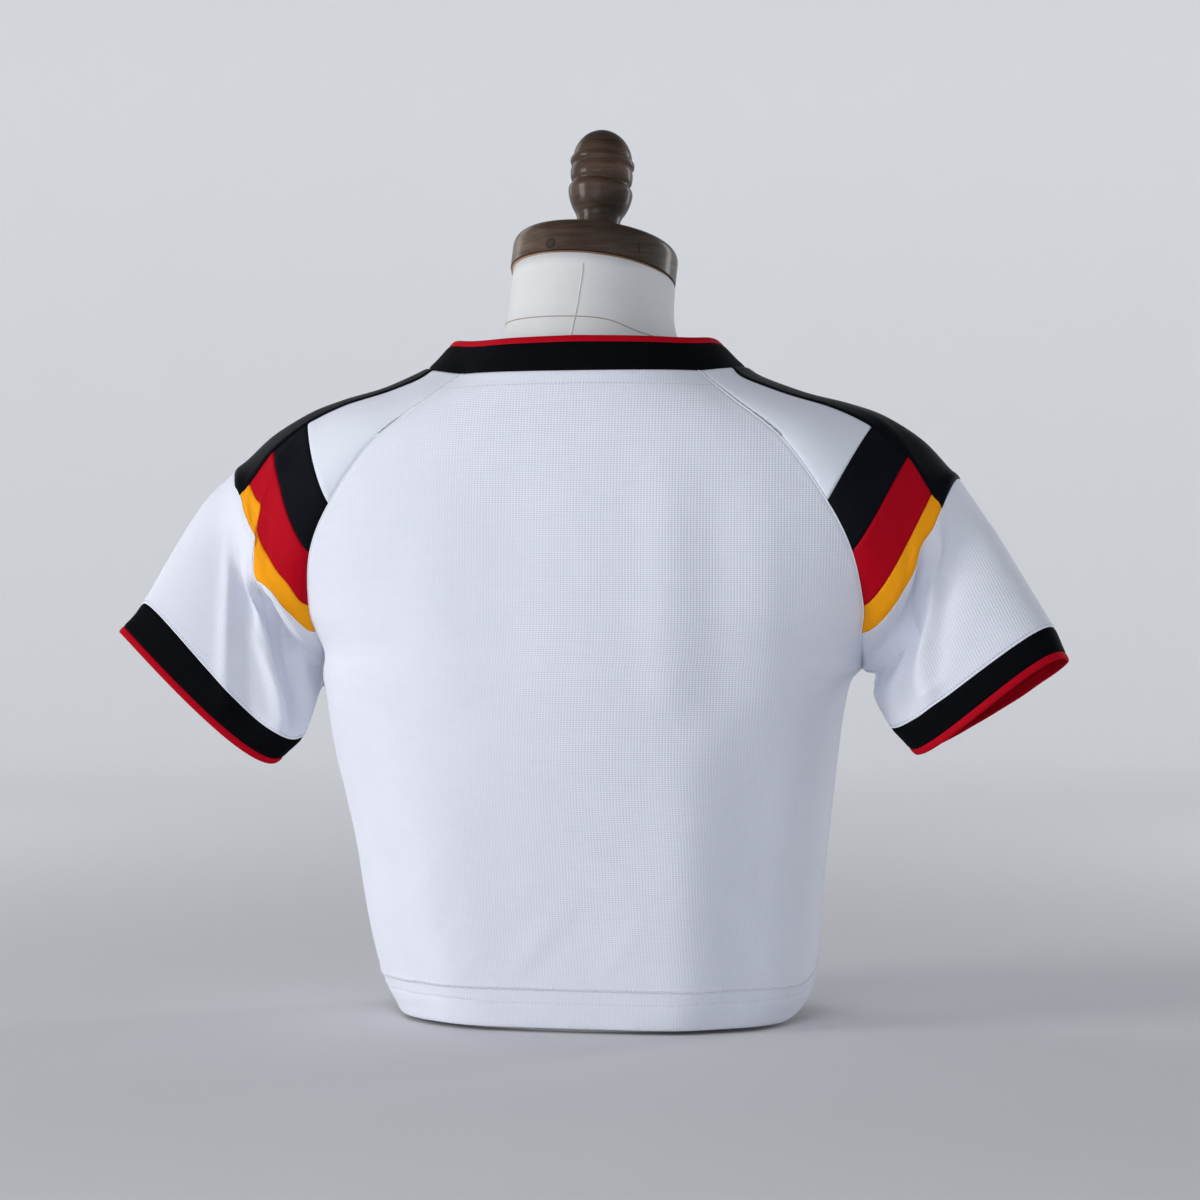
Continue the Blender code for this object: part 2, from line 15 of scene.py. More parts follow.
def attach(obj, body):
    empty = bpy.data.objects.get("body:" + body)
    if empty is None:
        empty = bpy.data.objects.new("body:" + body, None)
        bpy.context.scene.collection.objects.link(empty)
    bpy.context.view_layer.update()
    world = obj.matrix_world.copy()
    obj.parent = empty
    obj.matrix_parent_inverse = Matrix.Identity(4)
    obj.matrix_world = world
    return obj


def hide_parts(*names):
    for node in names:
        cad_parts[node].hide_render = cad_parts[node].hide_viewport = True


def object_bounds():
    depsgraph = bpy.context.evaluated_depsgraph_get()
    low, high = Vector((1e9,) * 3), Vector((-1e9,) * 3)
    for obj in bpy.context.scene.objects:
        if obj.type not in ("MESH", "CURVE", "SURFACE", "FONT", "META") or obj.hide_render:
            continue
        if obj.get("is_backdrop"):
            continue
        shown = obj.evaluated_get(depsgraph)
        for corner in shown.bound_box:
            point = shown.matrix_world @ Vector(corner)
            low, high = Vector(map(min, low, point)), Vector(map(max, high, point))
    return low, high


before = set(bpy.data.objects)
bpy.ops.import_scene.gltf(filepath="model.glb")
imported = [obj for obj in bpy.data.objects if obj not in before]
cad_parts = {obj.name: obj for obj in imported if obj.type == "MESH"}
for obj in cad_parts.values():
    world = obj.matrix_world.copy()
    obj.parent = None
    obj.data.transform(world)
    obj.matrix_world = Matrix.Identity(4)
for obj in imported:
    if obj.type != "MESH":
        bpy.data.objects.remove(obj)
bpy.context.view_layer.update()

MM = 0.001

# ---------------------------------------------------------------- driving sizes
CLOTH = 1.2          # one layer of knit
DOUBLE = 2.2         # turned-up hem, collar and cuff
SEAM = 0.16          # clear line between two sewn pieces
HEM_TURN = 27.0      # height of the turned-up hem
HEM_CHANNEL = 9.0    # between the two rows of hem stitches
BASE = 5.0           # height of the form's flat base in the tables
HEM_BACK = 8.0       # hem edge at the back
HEM_RISE = 30.0      # how much higher the hem hangs at the front
ARMPIT_Z = 252.0
COLLAR_W = 22.0
TIP_W = 4.6          # red tubular edges
TIP_GAP = -0.8       # the edges overlap the cloth they finish
SIDE_Y = -4.0        # side seam line
ROUND = 2.4          # squareness of the torso rings
BAND_LAYER = 0.8     # shoulder strip thickness
BAND_LIFT = 0.95     # top of the shoulder strip above the sleeve

# torso rings: height, half width, sideways sway, depth at the back, depth at the front
TORSO = [
    (6, 140, 3, 93, 112), (14, 144.5, 3.5, 93.5, 113), (24, 150, 3, 94, 114),
    (37, 155, 2, 94, 115), (60, 159.5, 0, 94, 117), (90, 163.5, -2, 95, 121),
    (124, 168, -3, 96, 127), (160, 174, -5, 98, 132), (187, 179, -7, 100, 136),
    (215, 183.5, -8, 101, 138), (238, 187.5, -7.5, 102.5, 138), (246, 190, -6.5, 102.8, 137.5),
    (252, 193, -3, 103, 137), (277, 196, -1, 104, 136), (296, 198, 0, 104.5, 134), (333, 200, 0, 104.5, 128),
    (360, 200, 0, 103.5, 119), (388, 200, 0, 101, 104), (409, 200, 0, 98, 88),
    (428, 200, 0, 94, 68), (438, 200, 0, 91.5, 58), (457, 200, 0, 86, 50),
]
# broad shape of the back and the front just below the armpits, away from the sides: height, half width, sway
BROAD = [(160, 174, -5), (187, 179.5, -5.5), (215, 185, -4.8), (238, 190, -3.6), (252, 193, -3)]

# sleeve stations from the collar (0) over the armpit (7) to the cuff edge (10)
# back raglan seam: station, x, y, z, then the pull of the cloth leaving the seam
BACK_SEAM = [
    (0, 83, -62, 458, 17, 9, 2), (1, 108, -76, 438, 14, 4, 6), (2, 144, -84, 409, 12, -2, 12),
    (3, 174, -84, 367, 11, -8, 20), (4, 190, -76, 333, 13, -16, 18), (5, 196, -57, 296, 18, -25, 15),
    (6, 194, -42, 277, 28, -34, 14), (7, 193, -4, 252, 12, -46, 6), (8, 199, -16, 232, 6, -42, 3),
    (9, 210, -29, 208, 2, -34, 1), (10, 224, -33, 193, 2, -33, 1),
]
# ridge along the shoulder and the top of the sleeve: station, x, y, z, roundness back and front
RIDGE = [
    (0, 117, -9, 463, 27, 22), (1, 149, -8, 449, 34, 32), (2, 180, -9, 440, 42, 40),
    (3, 205, -11, 430, 46, 44), (4, 231, -13, 412, 50, 46), (5, 250, -17, 391, 52, 46),
    (6, 259, -19, 381, 54, 46), (7, 274, -23, 361, 50, 44), (8, 298, -32, 326, 44, 40),
    (9, 324, -42, 288, 36, 36), (10, 335, -45, 271, 34, 34),
]
# front raglan seam: station, x, y, z and the pull of the cloth
FRONT_SEAM = [
    (0, 74, 50, 446, 20, -13, 5), (1, 98, 64, 428, 16, -5, 7), (2, 133, 74, 404, 12, 1, 13),
    (3, 165, 77, 366, 11, 6, 20), (4, 182, 68, 332, 13, 14, 18), (5, 189, 50, 296, 18, 22, 15),
    (6, 190, 36, 277, 26, 30, 14), (7, 193, -4, 252, 12, 42, 6), (8, 199, -16, 232, 6, 38, 3),
    (9, 210, -29, 208, 2, 34, 1), (10, 224, -33, 193, 2, 33, 1),
]
# how each sleeve hangs apart from the mean: station, ridge x, ridge z, underarm x, underarm z, depth factor,
# then how far the cloth sags along the sleeve: back near ridge and underarm, front near ridge and underarm
HANG_RIGHT = [
    (0, -8, 0, 0, 0, 1, 0, 0, 0, 0), (0.4, -9, -1, 0, 0, 1, 0, 0, 0, 0), (1, 1, -4, 0, 0, 1, 0, 0, 0, 0),
    (3, 2, -3, 0, 0, 1, -4, 2, 0, 0), (5, 1, 0, 0, 0, 1, -3, 8, 0, 0), (6, 0, 2, 0, 0, 1, -8, 12, 0, 0),
    (7, 3, -4, 0, 0, 1, -4, 6, 0, 0), (7.35, 3, -4, 9, 4, 1, -5, 6, 1, 1),
    (8, 2, -5, 2, 2, 1.05, -8, 8, 3, 4), (9, 0, -7, 2, 5, 1.12, -14, 14, 6, 8),
    (10, -3, -8, 2, 5, 1.12, -18, 14, 6, 8),
]
HANG_LEFT = [
    (0, 2, 2, 0, 0, 1, 0, 0, 0, 0), (3, 0, 4, 0, 0, 1, -5, 0, 0, 0), (5, 0, 10.2, 0, 0, 1, -8, 10, 0, 0),
    (6, 0.5, 12, 0, 0, 1, -10, 15, 0, 0), (7, 8, 11, 0, 0, 1, -8, 12, 0, 0),
    (8, 6, 10, 0, 0, 0.9, -16, 18, 0, 4), (9, 1, 8, -2, -5, 0.85, -23, 28, -8, 6),
    (10, 3, 9, -1, -6, 0.82, -9, 18, -14, 5),
]
SLEEVE_AXIS = (0.52, -0.05, -0.85)
# shoulder strip: station, reach behind the ridge, reach in front of it
STRIP = [(0, 33, 25), (0.5, 45, 26), (1.2, 46, 27), (2, 43, 28), (3, 41, 29), (4, 43, 29), (5, 45, 30),
         (6, 46, 30)]
# front neckline: station, height at the centre front and depth there
NECK_FRONT = [(0, 424, 78), (1, 409, 90), (2, 387, 105), (3, 357, 119.5), (4, 328, 129), (5, 295, 134),
              (6, 277, 136), (7, 252, 137)]
NECK_BACK = [(0, 457, 86), (1, 439, 91.5), (2, 409, 98), (3, 367, 103), (4, 333, 104.5), (5, 296, 104.5),
             (6, 277, 104), (7, 252, 103)]
# lean of the collar towards the neck, degrees: quarter turn from the back (0) to the front (2)
COLLAR_LEAN = [(0, 20), (0.6, 32), (1, 44), (1.5, 36), (2, 26)]

# ---------------------------------------------------------------- folds
# main folds on the sleeves: side, station and place (0 back seam, 1 front) of both ends, half width, height
SLEEVE_FOLDS = [
    ("l", 6.9, 0.25, 8.7, 0.07, 9, 7.2), ("l", 6.8, 0.17, 8.2, 0.04, 10, -9),
    ("l", 7.3, 0.32, 9.2, 0.20, 9, 3), ("l", 7.6, 0.26, 9.0, 0.14, 8, -2.5),
    ("l", 6.8, 0.74, 9.8, 0.76, 11, 5), ("l", 6.7, 0.86, 9.2, 0.88, 9, -6),
    ("r", 6.4, 0.25, 8.3, 0.11, 8, -7), ("r", 6.6, 0.32, 8.5, 0.16, 9, 3.6),
    ("r", 7.4, 0.31, 8.7, 0.19, 9, -1.3), ("r", 6.8, 0.76, 9.6, 0.78, 11, 5),
    ("r", 6.7, 0.87, 9.2, 0.90, 9, -6), ("r", 7.2, 0.62, 9.8, 0.63, 12, -3),
]
# finer creases between them, as uneven in length and depth as real ones
SLEEVE_CREASES = [
    ("l", 3.6, 0.22, 5.4, 0.16, 6, -0.6), ("l", 3.4, 0.30, 5.0, 0.24, 6, 0.5),
    ("l", 6.9, 0.08, 8.2, 0.05, 5, 0.8), ("l", 6.4, 0.66, 8.8, 0.69, 6, -1.3),
    ("l", 6.9, 0.80, 8.6, 0.82, 5, 1.1), ("l", 4.4, 0.80, 6.0, 0.84, 6, -0.9),
    ("r", 3.2, 0.36, 4.6, 0.30, 5, 0.5), ("r", 3.4, 0.31, 4.7, 0.25, 5, -0.5),
    ("r", 4.9, 0.20, 6.0, 0.16, 7, -0.6), ("r", 6.5, 0.69, 8.9, 0.70, 6, -1.2),
    ("r", 6.9, 0.81, 8.5, 0.83, 5, 1.1), ("r", 4.5, 0.78, 6.1, 0.83, 6, -0.9),
]
# slack in the torso: angle from the side round to the front (negative: back), low and high end, width, height
TORSO_FOLDS = [
    (-62, 10, 190, 15, 2.5), (-118, 10, 215, 16, 3), (-90, 10, 150, 20, -2), (-40, 40, 235, 12, -3),
    (-142, 40, 235, 12, -3), (60, 20, 170, 14, 3), (90, 20, 150, 18, -3), (120, 20, 170, 14, 3),
    (35, 60, 235, 12, -3), (145, 60, 235, 12, -3),
]
TORSO_CREASES = [
    (-66, 20, 235, 7, 1.8), (-50, 20, 240, 7.5, -2.0), (-34, 30, 225, 6, 1.3), (-24, 60, 240, 5, -0.8),
    (-77, 20, 150, 7, 0.8), (-103, 20, 200, 7, -0.8), (-121, 30, 150, 5, 0.7), (-131, 20, 130, 4, -0.8),
    (-140, 25, 170, 4.5, 0.9), (-152, 90, 245, 4, -0.9), (48, 50, 210, 5, -0.8), (74, 30, 140, 6, 0.7),
    (105, 30, 180, 6, -0.7), (131, 50, 220, 5, 0.8), (22, 90, 240, 4, 0.8), (157, 90, 240, 4, -0.8),
]
# the same slack above the armpits on the back: distance from the middle, half width, height
BACK_SLACK = [(68, 17, 2.0), (102, 15, -1.6), (136, 12, 1.0), (-96, 20, 1.0), (-44, 22, -0.9), (12, 30, 0.7)]
# slanting creases on the back above the hem: distance from the middle and height of both ends, width, height
BACK_LINES = [
    (-44, 40, 0, 98, 6, 0.7), (-30, 38, 8, 84, 5, -0.6), (20, 40, 46, 78, 5, 0.6),
    (-122, 62, -94, 126, 7, 0.7), (-108, 44, -78, 96, 5, -0.6), (140, 42, 108, 112, 6, 0.8),
    (122, 40, 98, 90, 5, -0.6), (-84, 34, -62, 62, 4, 0.5),
]

# lines of finer relief on the sleeves, drawn in place: side, then points of station, place, half width on the
# underarm side and on the ridge side of a line that runs to the cuff, and height
SLEEVE_LINES = [
    ("l", [(6.75, 0.245, 7, 2.5, 0.3), (6.45, 0.212, 8, 2.3, 1.5), (6.2, 0.184, 8, 2.2, 2.2),
           (5.9, 0.13, 8, 2.2, 2.3), (5.78, 0.091, 8, 2.3, 2.2), (6.05, 0.06, 7, 2.4, 2.0),
           (6.5, 0.045, 6, 2.5, 1.6), (6.9, 0.025, 5, 2.5, 0.6)]),
    ("l", [(6.7, 0.24, 3, 2.5, 0.5), (6.9, 0.236, 3, 2.6, 1.9), (7.4, 0.215, 3.2, 3, 2.8),
           (7.8, 0.195, 3.4, 3.4, 3.1), (8.1, 0.147, 3.6, 4, 3.0), (8.3, 0.102, 3.6, 4, 2.6),
           (8.45, 0.074, 4, 3.5, 1.9), (8.65, 0.07, 4, 4, 0.6)]),
    ("l", [(6.75, 0.222, 5, 3, -0.8), (7.0, 0.205, 7, 3, -3.4), (7.3, 0.18, 8, 4, -3.4),
           (7.7, 0.14, 9, 4, -2.6), (8.0, 0.1, 8, 4, -2.0), (8.25, 0.06, 6, 4, -0.6)]),
    ("l", [(7.0, 0.17, 5, 5, 0.1), (7.2, 0.153, 5, 6, 0.9), (7.7, 0.11, 5, 6, 1.3), (8.1, 0.059, 5, 6, 0.8),
           (8.4, 0.03, 5, 5, 0.2)]),
    ("l", [(6.6, 0.37, 5, 5, 0.1), (6.8, 0.357, 5, 5, 0.7), (7.7, 0.292, 4, 6, 1.1), (8.6, 0.24, 4, 6, 0.7),
           (9.0, 0.22, 4, 5, 0.1)]),
    ("l", [(6.8, 0.335, 4, 3, -0.2), (7.2, 0.305, 5, 3, -0.9), (7.7, 0.272, 5, 3, -1.1),
           (8.5, 0.226, 5, 3, -0.6), (8.9, 0.205, 5, 4, -0.1)]),
    ("l", [(5.0, 0.35, 5, 3, 0.2), (5.35, 0.31, 5, 2.4, 1.0), (5.5, 0.275, 5, 2.0, 1.5),
           (5.3, 0.238, 4, 2.0, 1.2), (5.15, 0.215, 4, 3, 0.2)]),
    ("r", [(6.75, 0.295, 4, 3, -0.5), (6.55, 0.26, 4, 3, -2.6), (6.55, 0.225, 5, 3, -3.4),
           (6.75, 0.198, 5, 3.5, -3.4), (7.0, 0.18, 6, 4, -3.0), (7.4, 0.113, 6, 5, -1.8),
           (7.8, 0.076, 6, 5, -0.3)]),
    ("r", [(6.7, 0.31, 2.5, 3, 0.3), (6.9, 0.305, 2.5, 3.5, 0.9), (7.1, 0.288, 2.8, 4.5, 1.3),
           (7.4, 0.24, 3.4, 5, 1.4), (7.7, 0.212, 4, 5, 1.2), (8.1, 0.177, 4, 4, 0.9),
           (8.5, 0.135, 4, 4, 0.2)]),
    ("r", [(7.1, 0.32, 5, 5, -0.1), (7.3, 0.3, 5, 6, -0.6), (7.7, 0.262, 5, 7, -0.9),
           (8.1, 0.205, 5, 7, -1.1), (8.5, 0.15, 5, 5, -0.8), (8.7, 0.12, 4, 4, -0.1)]),
    ("r", [(8.45, 0.10, 4, 4, 0.2), (8.62, 0.12, 4, 3.4, 1.5), (8.7, 0.16, 4, 3.4, 1.9),
           (8.66, 0.21, 4, 3.6, 1.5), (8.6, 0.25, 4, 4, 0.3)]),
    ("r", [(8.5, 0.24, 4, 4, -0.1), (8.6, 0.27, 4, 4, -0.5), (8.6, 0.31, 4, 4, -0.6),
           (8.6, 0.36, 4, 4, -0.1)]),
    ("l", [(6.6, 0.66, 5, 4, 0.2), (7.2, 0.68, 5, 4, 1.4), (8.0, 0.71, 4, 5, 1.2), (8.8, 0.72, 4, 5, 0.2)]),
    ("l", [(6.9, 0.80, 4, 5, -0.3), (7.4, 0.83, 5, 5, -1.6), (8.1, 0.86, 5, 4, -1.1),
           (8.6, 0.87, 4, 4, -0.1)]),
    ("r", [(6.5, 0.69, 5, 4, 0.2), (7.3, 0.70, 5, 4, 1.3), (8.2, 0.73, 4, 5, 1.0), (8.9, 0.74, 4, 5, 0.1)]),
    ("r", [(6.8, 0.82, 4, 5, -0.3), (7.3, 0.84, 5, 5, -1.5), (8.0, 0.88, 5, 4, -1.0),
           (8.5, 0.89, 4, 4, -0.1)]),
]
# how the seam above (5) and below (6) the gold band strays from its station: side, seam, place and shift
SEAM_STRAY = {
    ("l", 6): [(0.02, 0.0), (0.045, -0.2), (0.066, -0.3), (0.124, -0.3), (0.17, 0.0), (0.2, 0.3),
    (0.216, 0.35),
               (0.226, -0.2), (0.233, -0.64), (0.243, -0.66), (0.28, -0.5), (0.323, -0.3), (0.348, -0.3),
               (0.4, 0.0)],
    ("l", 5): [(0.02, 0.0), (0.065, -0.1), (0.114, 0.0), (0.163, 0.1), (0.205, 0.18), (0.237, 0.1),
    (0.243, -0.05),
               (0.252, -0.28), (0.29, -0.14), (0.343, 0.0)],
    ("r", 6): [(0.02, 0.0), (0.1, 0.0), (0.21, 0.06), (0.25, -0.12), (0.3, 0.0)],
    ("r", 5): [(0.0, 0.0), (0.3, 0.0)],
}

# ---------------------------------------------------------------- pieces and mesh fineness
PANELS = ("back", "front")
SIDES = ((1, "r"), (-1, "l"))
# pieces of a sleeve and the stations they lie between
SPLITS = [("sleeve_top", 0, 3), ("band_black", 3, 4), ("band_red", 4, 5), ("band_gold", 5, 6),
          ("sleeve_low", 6, 9), ("cuff", 9, 10)]
COLLAR_STEPS = [0, 1.0, 2.2, 4.5, 7, 9.5, 12, 14.5, 17, 19.5, 21, COLLAR_W]
NECK_LOOK = (4, 9, 14, 19, -4, -9, -14, -19)    # places beside a point that give the collar's direction
NECK_SOFT = (-18, -12, -6, 6, 12, 18)           # and those that soften its corners
STATION = 34.0       # mean distance of two stations, for the lines of relief
ROWS_STATION = 14    # rows between two stations
ROWS_LOW = 62        # torso rows from hem to armpit
COLS_TORSO = 56      # columns from the centre to the side
COLS_STRIP = 16      # columns across half the shoulder strip
COLS_SLEEVE = 60     # columns from ridge to seam
EDGE_STEP = 0.05     # the extra row next to a cut edge, in stations
SAMPLES = 96         # samples along one section
TIP_SIDES = 14       # sides of a tubular edge
CORD_SIDES = 6       # sides of a thin cord
FORM_COLS, FORM_ROWS = 128, 96

# ---------------------------------------------------------------- dress form sizes
# form rings: height, half width, depth back, depth front, forward offset, squareness
FORM = [
    (5, 126, 84, 84, 0, 2.2), (25, 121, 80, 82, 0, 2.2), (55, 118, 79, 84, 0, 2.2), (90, 123, 83, 92, 0, 2.2),
    (130, 134, 89, 105, 0, 2.2), (175, 147, 94, 120, 0, 2.2), (215, 155, 97, 128, 0, 2.2),
    (260, 160, 99, 126, 0, 2.3), (300, 165, 100.5, 119, 0, 2.4), (340, 173, 101, 108, 0, 2.5),
    (375, 181, 100, 92, 0, 2.5), (388, 184, 98.4, 84, 0, 2.4), (400, 186, 96.5, 76, 0, 2.4),
    (415, 186, 92, 64, -1, 2.2), (426, 182, 87, 58, -2, 2.1), (436, 166.5, 82, 52, -3, 2.1),
    (446, 138.5, 76, 47, -3, 2.0), (455, 113.5, 70, 45, -2, 2.0), (465, 86, 65, 46, 0, 2.0),
    (478, 68, 61, 49, 3, 2.0), (495, 61, 57.5, 51, 7, 2.0), (515, 58.5, 57, 55, 9, 2.0),
    (528, 58, 57, 57, 10, 2.0),
]
FORM_TOP = 528
NECK_LEAN = -5.0     # sideways lean of the neck
NECK_CUT = 500       # the neck follows the cap's tilt above this height
NECK_TILT = Vector((0.073, 0.225, 0.97)).normalized()
KNOB_TILT = Vector((0.025, 0.225, 0.97)).normalized()
CAP_R, CAP_H, CAP_EDGE = 59.5, 28.0, 2.4
CAP_MID = Vector((-3.0, 11.0, 542.0))
# seam where the neck meets the shoulders: angle and height
NECK_SEAM = [(-180, 496), (-135, 498), (-90, 497.5), (-68, 495), (-45, 486.5), (0, 478), (60, 470), (90, 468),
             (120, 472), (150, 485), (180, 496)]
# cap and its pale lower edge: height over the cap's underside, and how far inside its radius
CAP_PROFILE = [(CAP_EDGE, 1.0), (CAP_EDGE + 0.5, 0.1), (CAP_EDGE + 1.5, 0), (10, 0), (16, 0), (20.5, 0.15),
               (23.5, 1.1), (25.8, 3.2), (27.2, 6.4), (27.9, 10), (CAP_H, 16), (CAP_H, 35.5)]
EDGE_PROFILE = [(0, 2.2), (0.15, 1.4), (0.9, 0.75), (CAP_EDGE - 0.5, 0.75), (CAP_EDGE - 0.1, 1.1)]
# knob: height over the cap and radius
FINIAL = [
    (0, 15), (5, 15), (11, 15.1), (16, 15.5), (20, 16.2), (23, 17.6), (26, 19.4), (29.5, 21), (33, 22.2),
    (36.5, 23), (39.5, 23.3), (41.6, 22.8), (43, 21.6), (44.2, 20.7), (45.3, 20.6), (46.4, 21.3),
    (48.4, 22.2), (51, 22.5), (54, 22.6), (56.6, 22.2), (57.8, 21.6), (58.8, 22.3), (60.2, 23.2),
    (62.2, 23.3), (63.8, 22.5), (65, 21.4), (67, 21.2), (70.5, 20.4), (75, 18.4), (79.5, 15.2), (83, 11),
    (85.2, 6.8), (86.4, 3), (86.8, 0.6),
]

# ---------------------------------------------------------------- stage sizes
FLOOR_R, FLOOR_BEND, FLOOR_WALL = 3200.0, 1500.0, 2200.0
FLOOR_GLOW, GLOW_REACH = 0.27, 3.4              # the floor far away is a little brighter (metres)
AIM = (0, 0, 0.28)
# name, place and size in metres, power, colour
LIGHTS = [
    ("key", (-3.1, -1.65, 0.92), (1.3, 1.7), 63, (1.0, 0.985, 0.97)),
    ("fill", (-0.3, -2.4, 0.6), (1.4, 1.4), 9, (0.94, 0.95, 1.0)),
    ("rim_right", (1.5, 1.5, 0.8), (0.4, 1.3), 9, (0.97, 0.98, 1.0)),
    ("rim_left", (-1.6, 1.2, 1.2), (0.6, 1.2), 4, (1.0, 0.99, 0.97)),
]
CAMERA_TURN = math.radians(10.5)
CAMERA_AWAY, CAMERA_UP = 2.0, 0.295
FRAME_PX, MIDDLE_PX, LENS_PX = 1200, 596, 2800  # the photograph's width, upright middle line and focal length
SENSOR = 36.0


def blend(table, key, col):
    """Smooth value of one column of a table at a key of its first column."""
    last = len(table) - 1
    if key <= table[0][0]:
        return float(table[0][col])
    if key >= table[last][0]:
        return float(table[last][col])
    i = 0
    while table[i + 1][0] < key:
        i += 1
    k0, k1 = table[i][0], table[i + 1][0]
    p0, p1 = table[i][col], table[i + 1][col]
    slope = (p1 - p0) / (k1 - k0)
    m0 = slope if i == 0 else (p1 - table[i - 1][col]) / (k1 - table[i - 1][0])
    m1 = slope if i + 1 == last else (table[i + 2][col] - p0) / (table[i + 2][0] - k0)
    h = k1 - k0
    s = (key - k0) / h
    return (p0 * (2 * s ** 3 - 3 * s * s + 1) + m0 * h * (s ** 3 - 2 * s * s + s)
            + p1 * (3 * s * s - 2 * s ** 3) + m1 * h * (s ** 3 - s * s))


def ease(low, high, value):
    s = min(1.0, max(0.0, (value - low) / (high - low)))
    return s * s * (3 - 2 * s)


def bell(off, width):
    return math.exp(-(off / width) ** 2)


def power(value, exponent):
    return math.copysign(abs(value) ** exponent, value)


def nearest(x, y, a, b):
    """Share along the line a to b nearest to a point, squared distance, and whether it lies to the left."""
    dx, dy = b[0] - a[0], b[1] - a[1]
    px, py = x - a[0], y - a[1]
    s = min(1.0, max(0.0, (px * dx + py * dy) / max(dx * dx + dy * dy, 1e-9)))
    return s, (px - dx * s) ** 2 + (py - dy * s) ** 2, dx * py - dy * px > 0


def running(pts):
    """Length along a line of points up to each of them."""
    run = [0.0]
    for a, b in zip(pts, pts[1:]):
        run.append(run[-1] + (b - a).length)
    return run


def along(pts, run, d):
    d = min(max(d, 0.0), run[-1])
    k = min(max(bisect.bisect_left(run, d), 1), len(run) - 1)
    return pts[k - 1].lerp(pts[k], (d - run[k - 1]) / max(run[k] - run[k - 1], 1e-9))


def circle(middle, x, y, count):
    """Points round a middle, from its two radii at right angles."""
    angles = [2 * math.pi * k / count for k in range(count)]
    return [middle + x * math.cos(a) + y * math.sin(a) for a in angles]


# ---------------------------------------------------------------- torso
def slack(angle, z):
    """Height of the torso folds at an angle and a height."""
    lift = 0.0
    for mid, low, high, width, height in TORSO_FOLDS + TORSO_CREASES:
        off = (angle - mid + 540) % 360 - 180
        lift += height * bell(off, width) * ease(low - 40, low + 10, z) * (1 - ease(high - 70, high, z))
    return lift


def ring_point(angle, z):
    """Point of the torso below the armpit; angle 0 right side, 90 front, -90 back."""
    a = math.radians(angle)
    depth = blend(TORSO, z, 4 if math.sin(a) > 0 else 3)
    half, sway, share = blend(TORSO, z, 1), blend(TORSO, z, 2), power(math.cos(a), 2 / ROUND)
    x = sway + half * share
    if BROAD[0][0] < z < ARMPIT_Z:
        flat = blend(BROAD, z, 2) + blend(BROAD, z, 1) * share
        x = flat + (x - flat) * abs(share) ** 5
    y = SIDE_Y + depth * power(math.sin(a), 2 / ROUND)
    out = Vector((math.cos(a), math.sin(a) * 1.5, 0)).normalized()
    return Vector((x, y, z)) + out * slack(angle, z) * (1 - ease(215, 250, z))


def hem_height(y):
    return HEM_BACK + HEM_RISE * ease(-45, 60, y)


def low_row(front, share):
    """Row of a panel below the armpits; its share is 0 at the hem edge and 1 at the armpit."""
    row = []
    for u in COLUMNS:
        angle = 90 - 90 * u if front else 90 * u - 90
        z = hem_height(ring_point(angle, 20).y)
        row.append(ring_point(angle, z + (ARMPIT_Z - z) * share))
    return row


def high_point(u, t, front):
    """Upper torso between the raglan seams; u -1 left seam, 1 right seam; t station 7 to 0."""
    table, neck, sign = (FRONT_SEAM, NECK_FRONT, 1) if front else (BACK_SEAM, NECK_BACK, -1)
    ex, ey, ez = (blend(table, t, c) for c in (1, 2, 3))
    cz, cb = blend(neck, t, 1), blend(neck, t, 2)
    share = min(1.0, abs(ey - SIDE_Y) / cb)
    wide = ex / (1 - share ** ROUND) ** (1 / ROUND)
    end = math.acos(min(1.0, (ex / wide) ** (ROUND / 2)))
    a = math.pi / 2 + (end - math.pi / 2) * abs(u)
    x = wide * power(math.cos(a), 2 / ROUND)
    y = SIDE_Y + sign * cb * power(math.sin(a), 2 / ROUND)
    z = cz + (ez - cz) * (x / ex) ** 2
    return Vector((math.copysign(x, u) + blend(TORSO, ez, 2) * ease(320, ARMPIT_Z, ez), y, z))


def high_row(t, front):
    return [high_point(u, t, front) for u in COLUMNS]


# ---------------------------------------------------------------- sleeves
def hang(side, t, col):
    return blend(HANG_RIGHT if side > 0 else HANG_LEFT, t, col)


def seam_point(side, t, front):
    if t <= 7:
        return high_point(side, t, front)
    x, y, z = (blend(FRONT_SEAM if front else BACK_SEAM, t, c) for c in (1, 2, 3))
    sway = blend(TORSO, ARMPIT_Z, 2) * (1 - ease(7, 9, t))
    return Vector((side * (x + hang(side, t, 3)) + sway, y, z + hang(side, t, 4)))


def section(side, t, front):
    """Sampled curve from the ridge down to the seam, with its running length."""
    table, sign = (FRONT_SEAM, 1) if front else (BACK_SEAM, -1)
    x, y, z = (blend(RIDGE, t, c) for c in (1, 2, 3))
    top = Vector((side * (x + hang(side, t, 1)), y, z + hang(side, t, 2)))
    low = seam_point(side, t, front)
    deep = hang(side, t, 5)
    pull = Vector((side * blend(table, t, 4), blend(table, t, 5) * deep, blend(table, t, 6)))
    roll = Vector((0, sign * blend(RIDGE, t, 5 if front else 4) * deep, 0))
    axis = Vector((side * SLEEVE_AXIS[0], SLEEVE_AXIS[1], SLEEVE_AXIS[2]))
    roll += axis * hang(side, t, 8 if front else 6)
    pull += axis * hang(side, t, 9 if front else 7)
    pts = []
    for s in (k / SAMPLES for k in range(SAMPLES + 1)):
        pts.append(top * (1 - s) ** 3 + (top + roll) * 3 * s * (1 - s) ** 2
                   + (low + pull) * 3 * s * s * (1 - s) + low * s ** 3)
    return pts, running(pts)


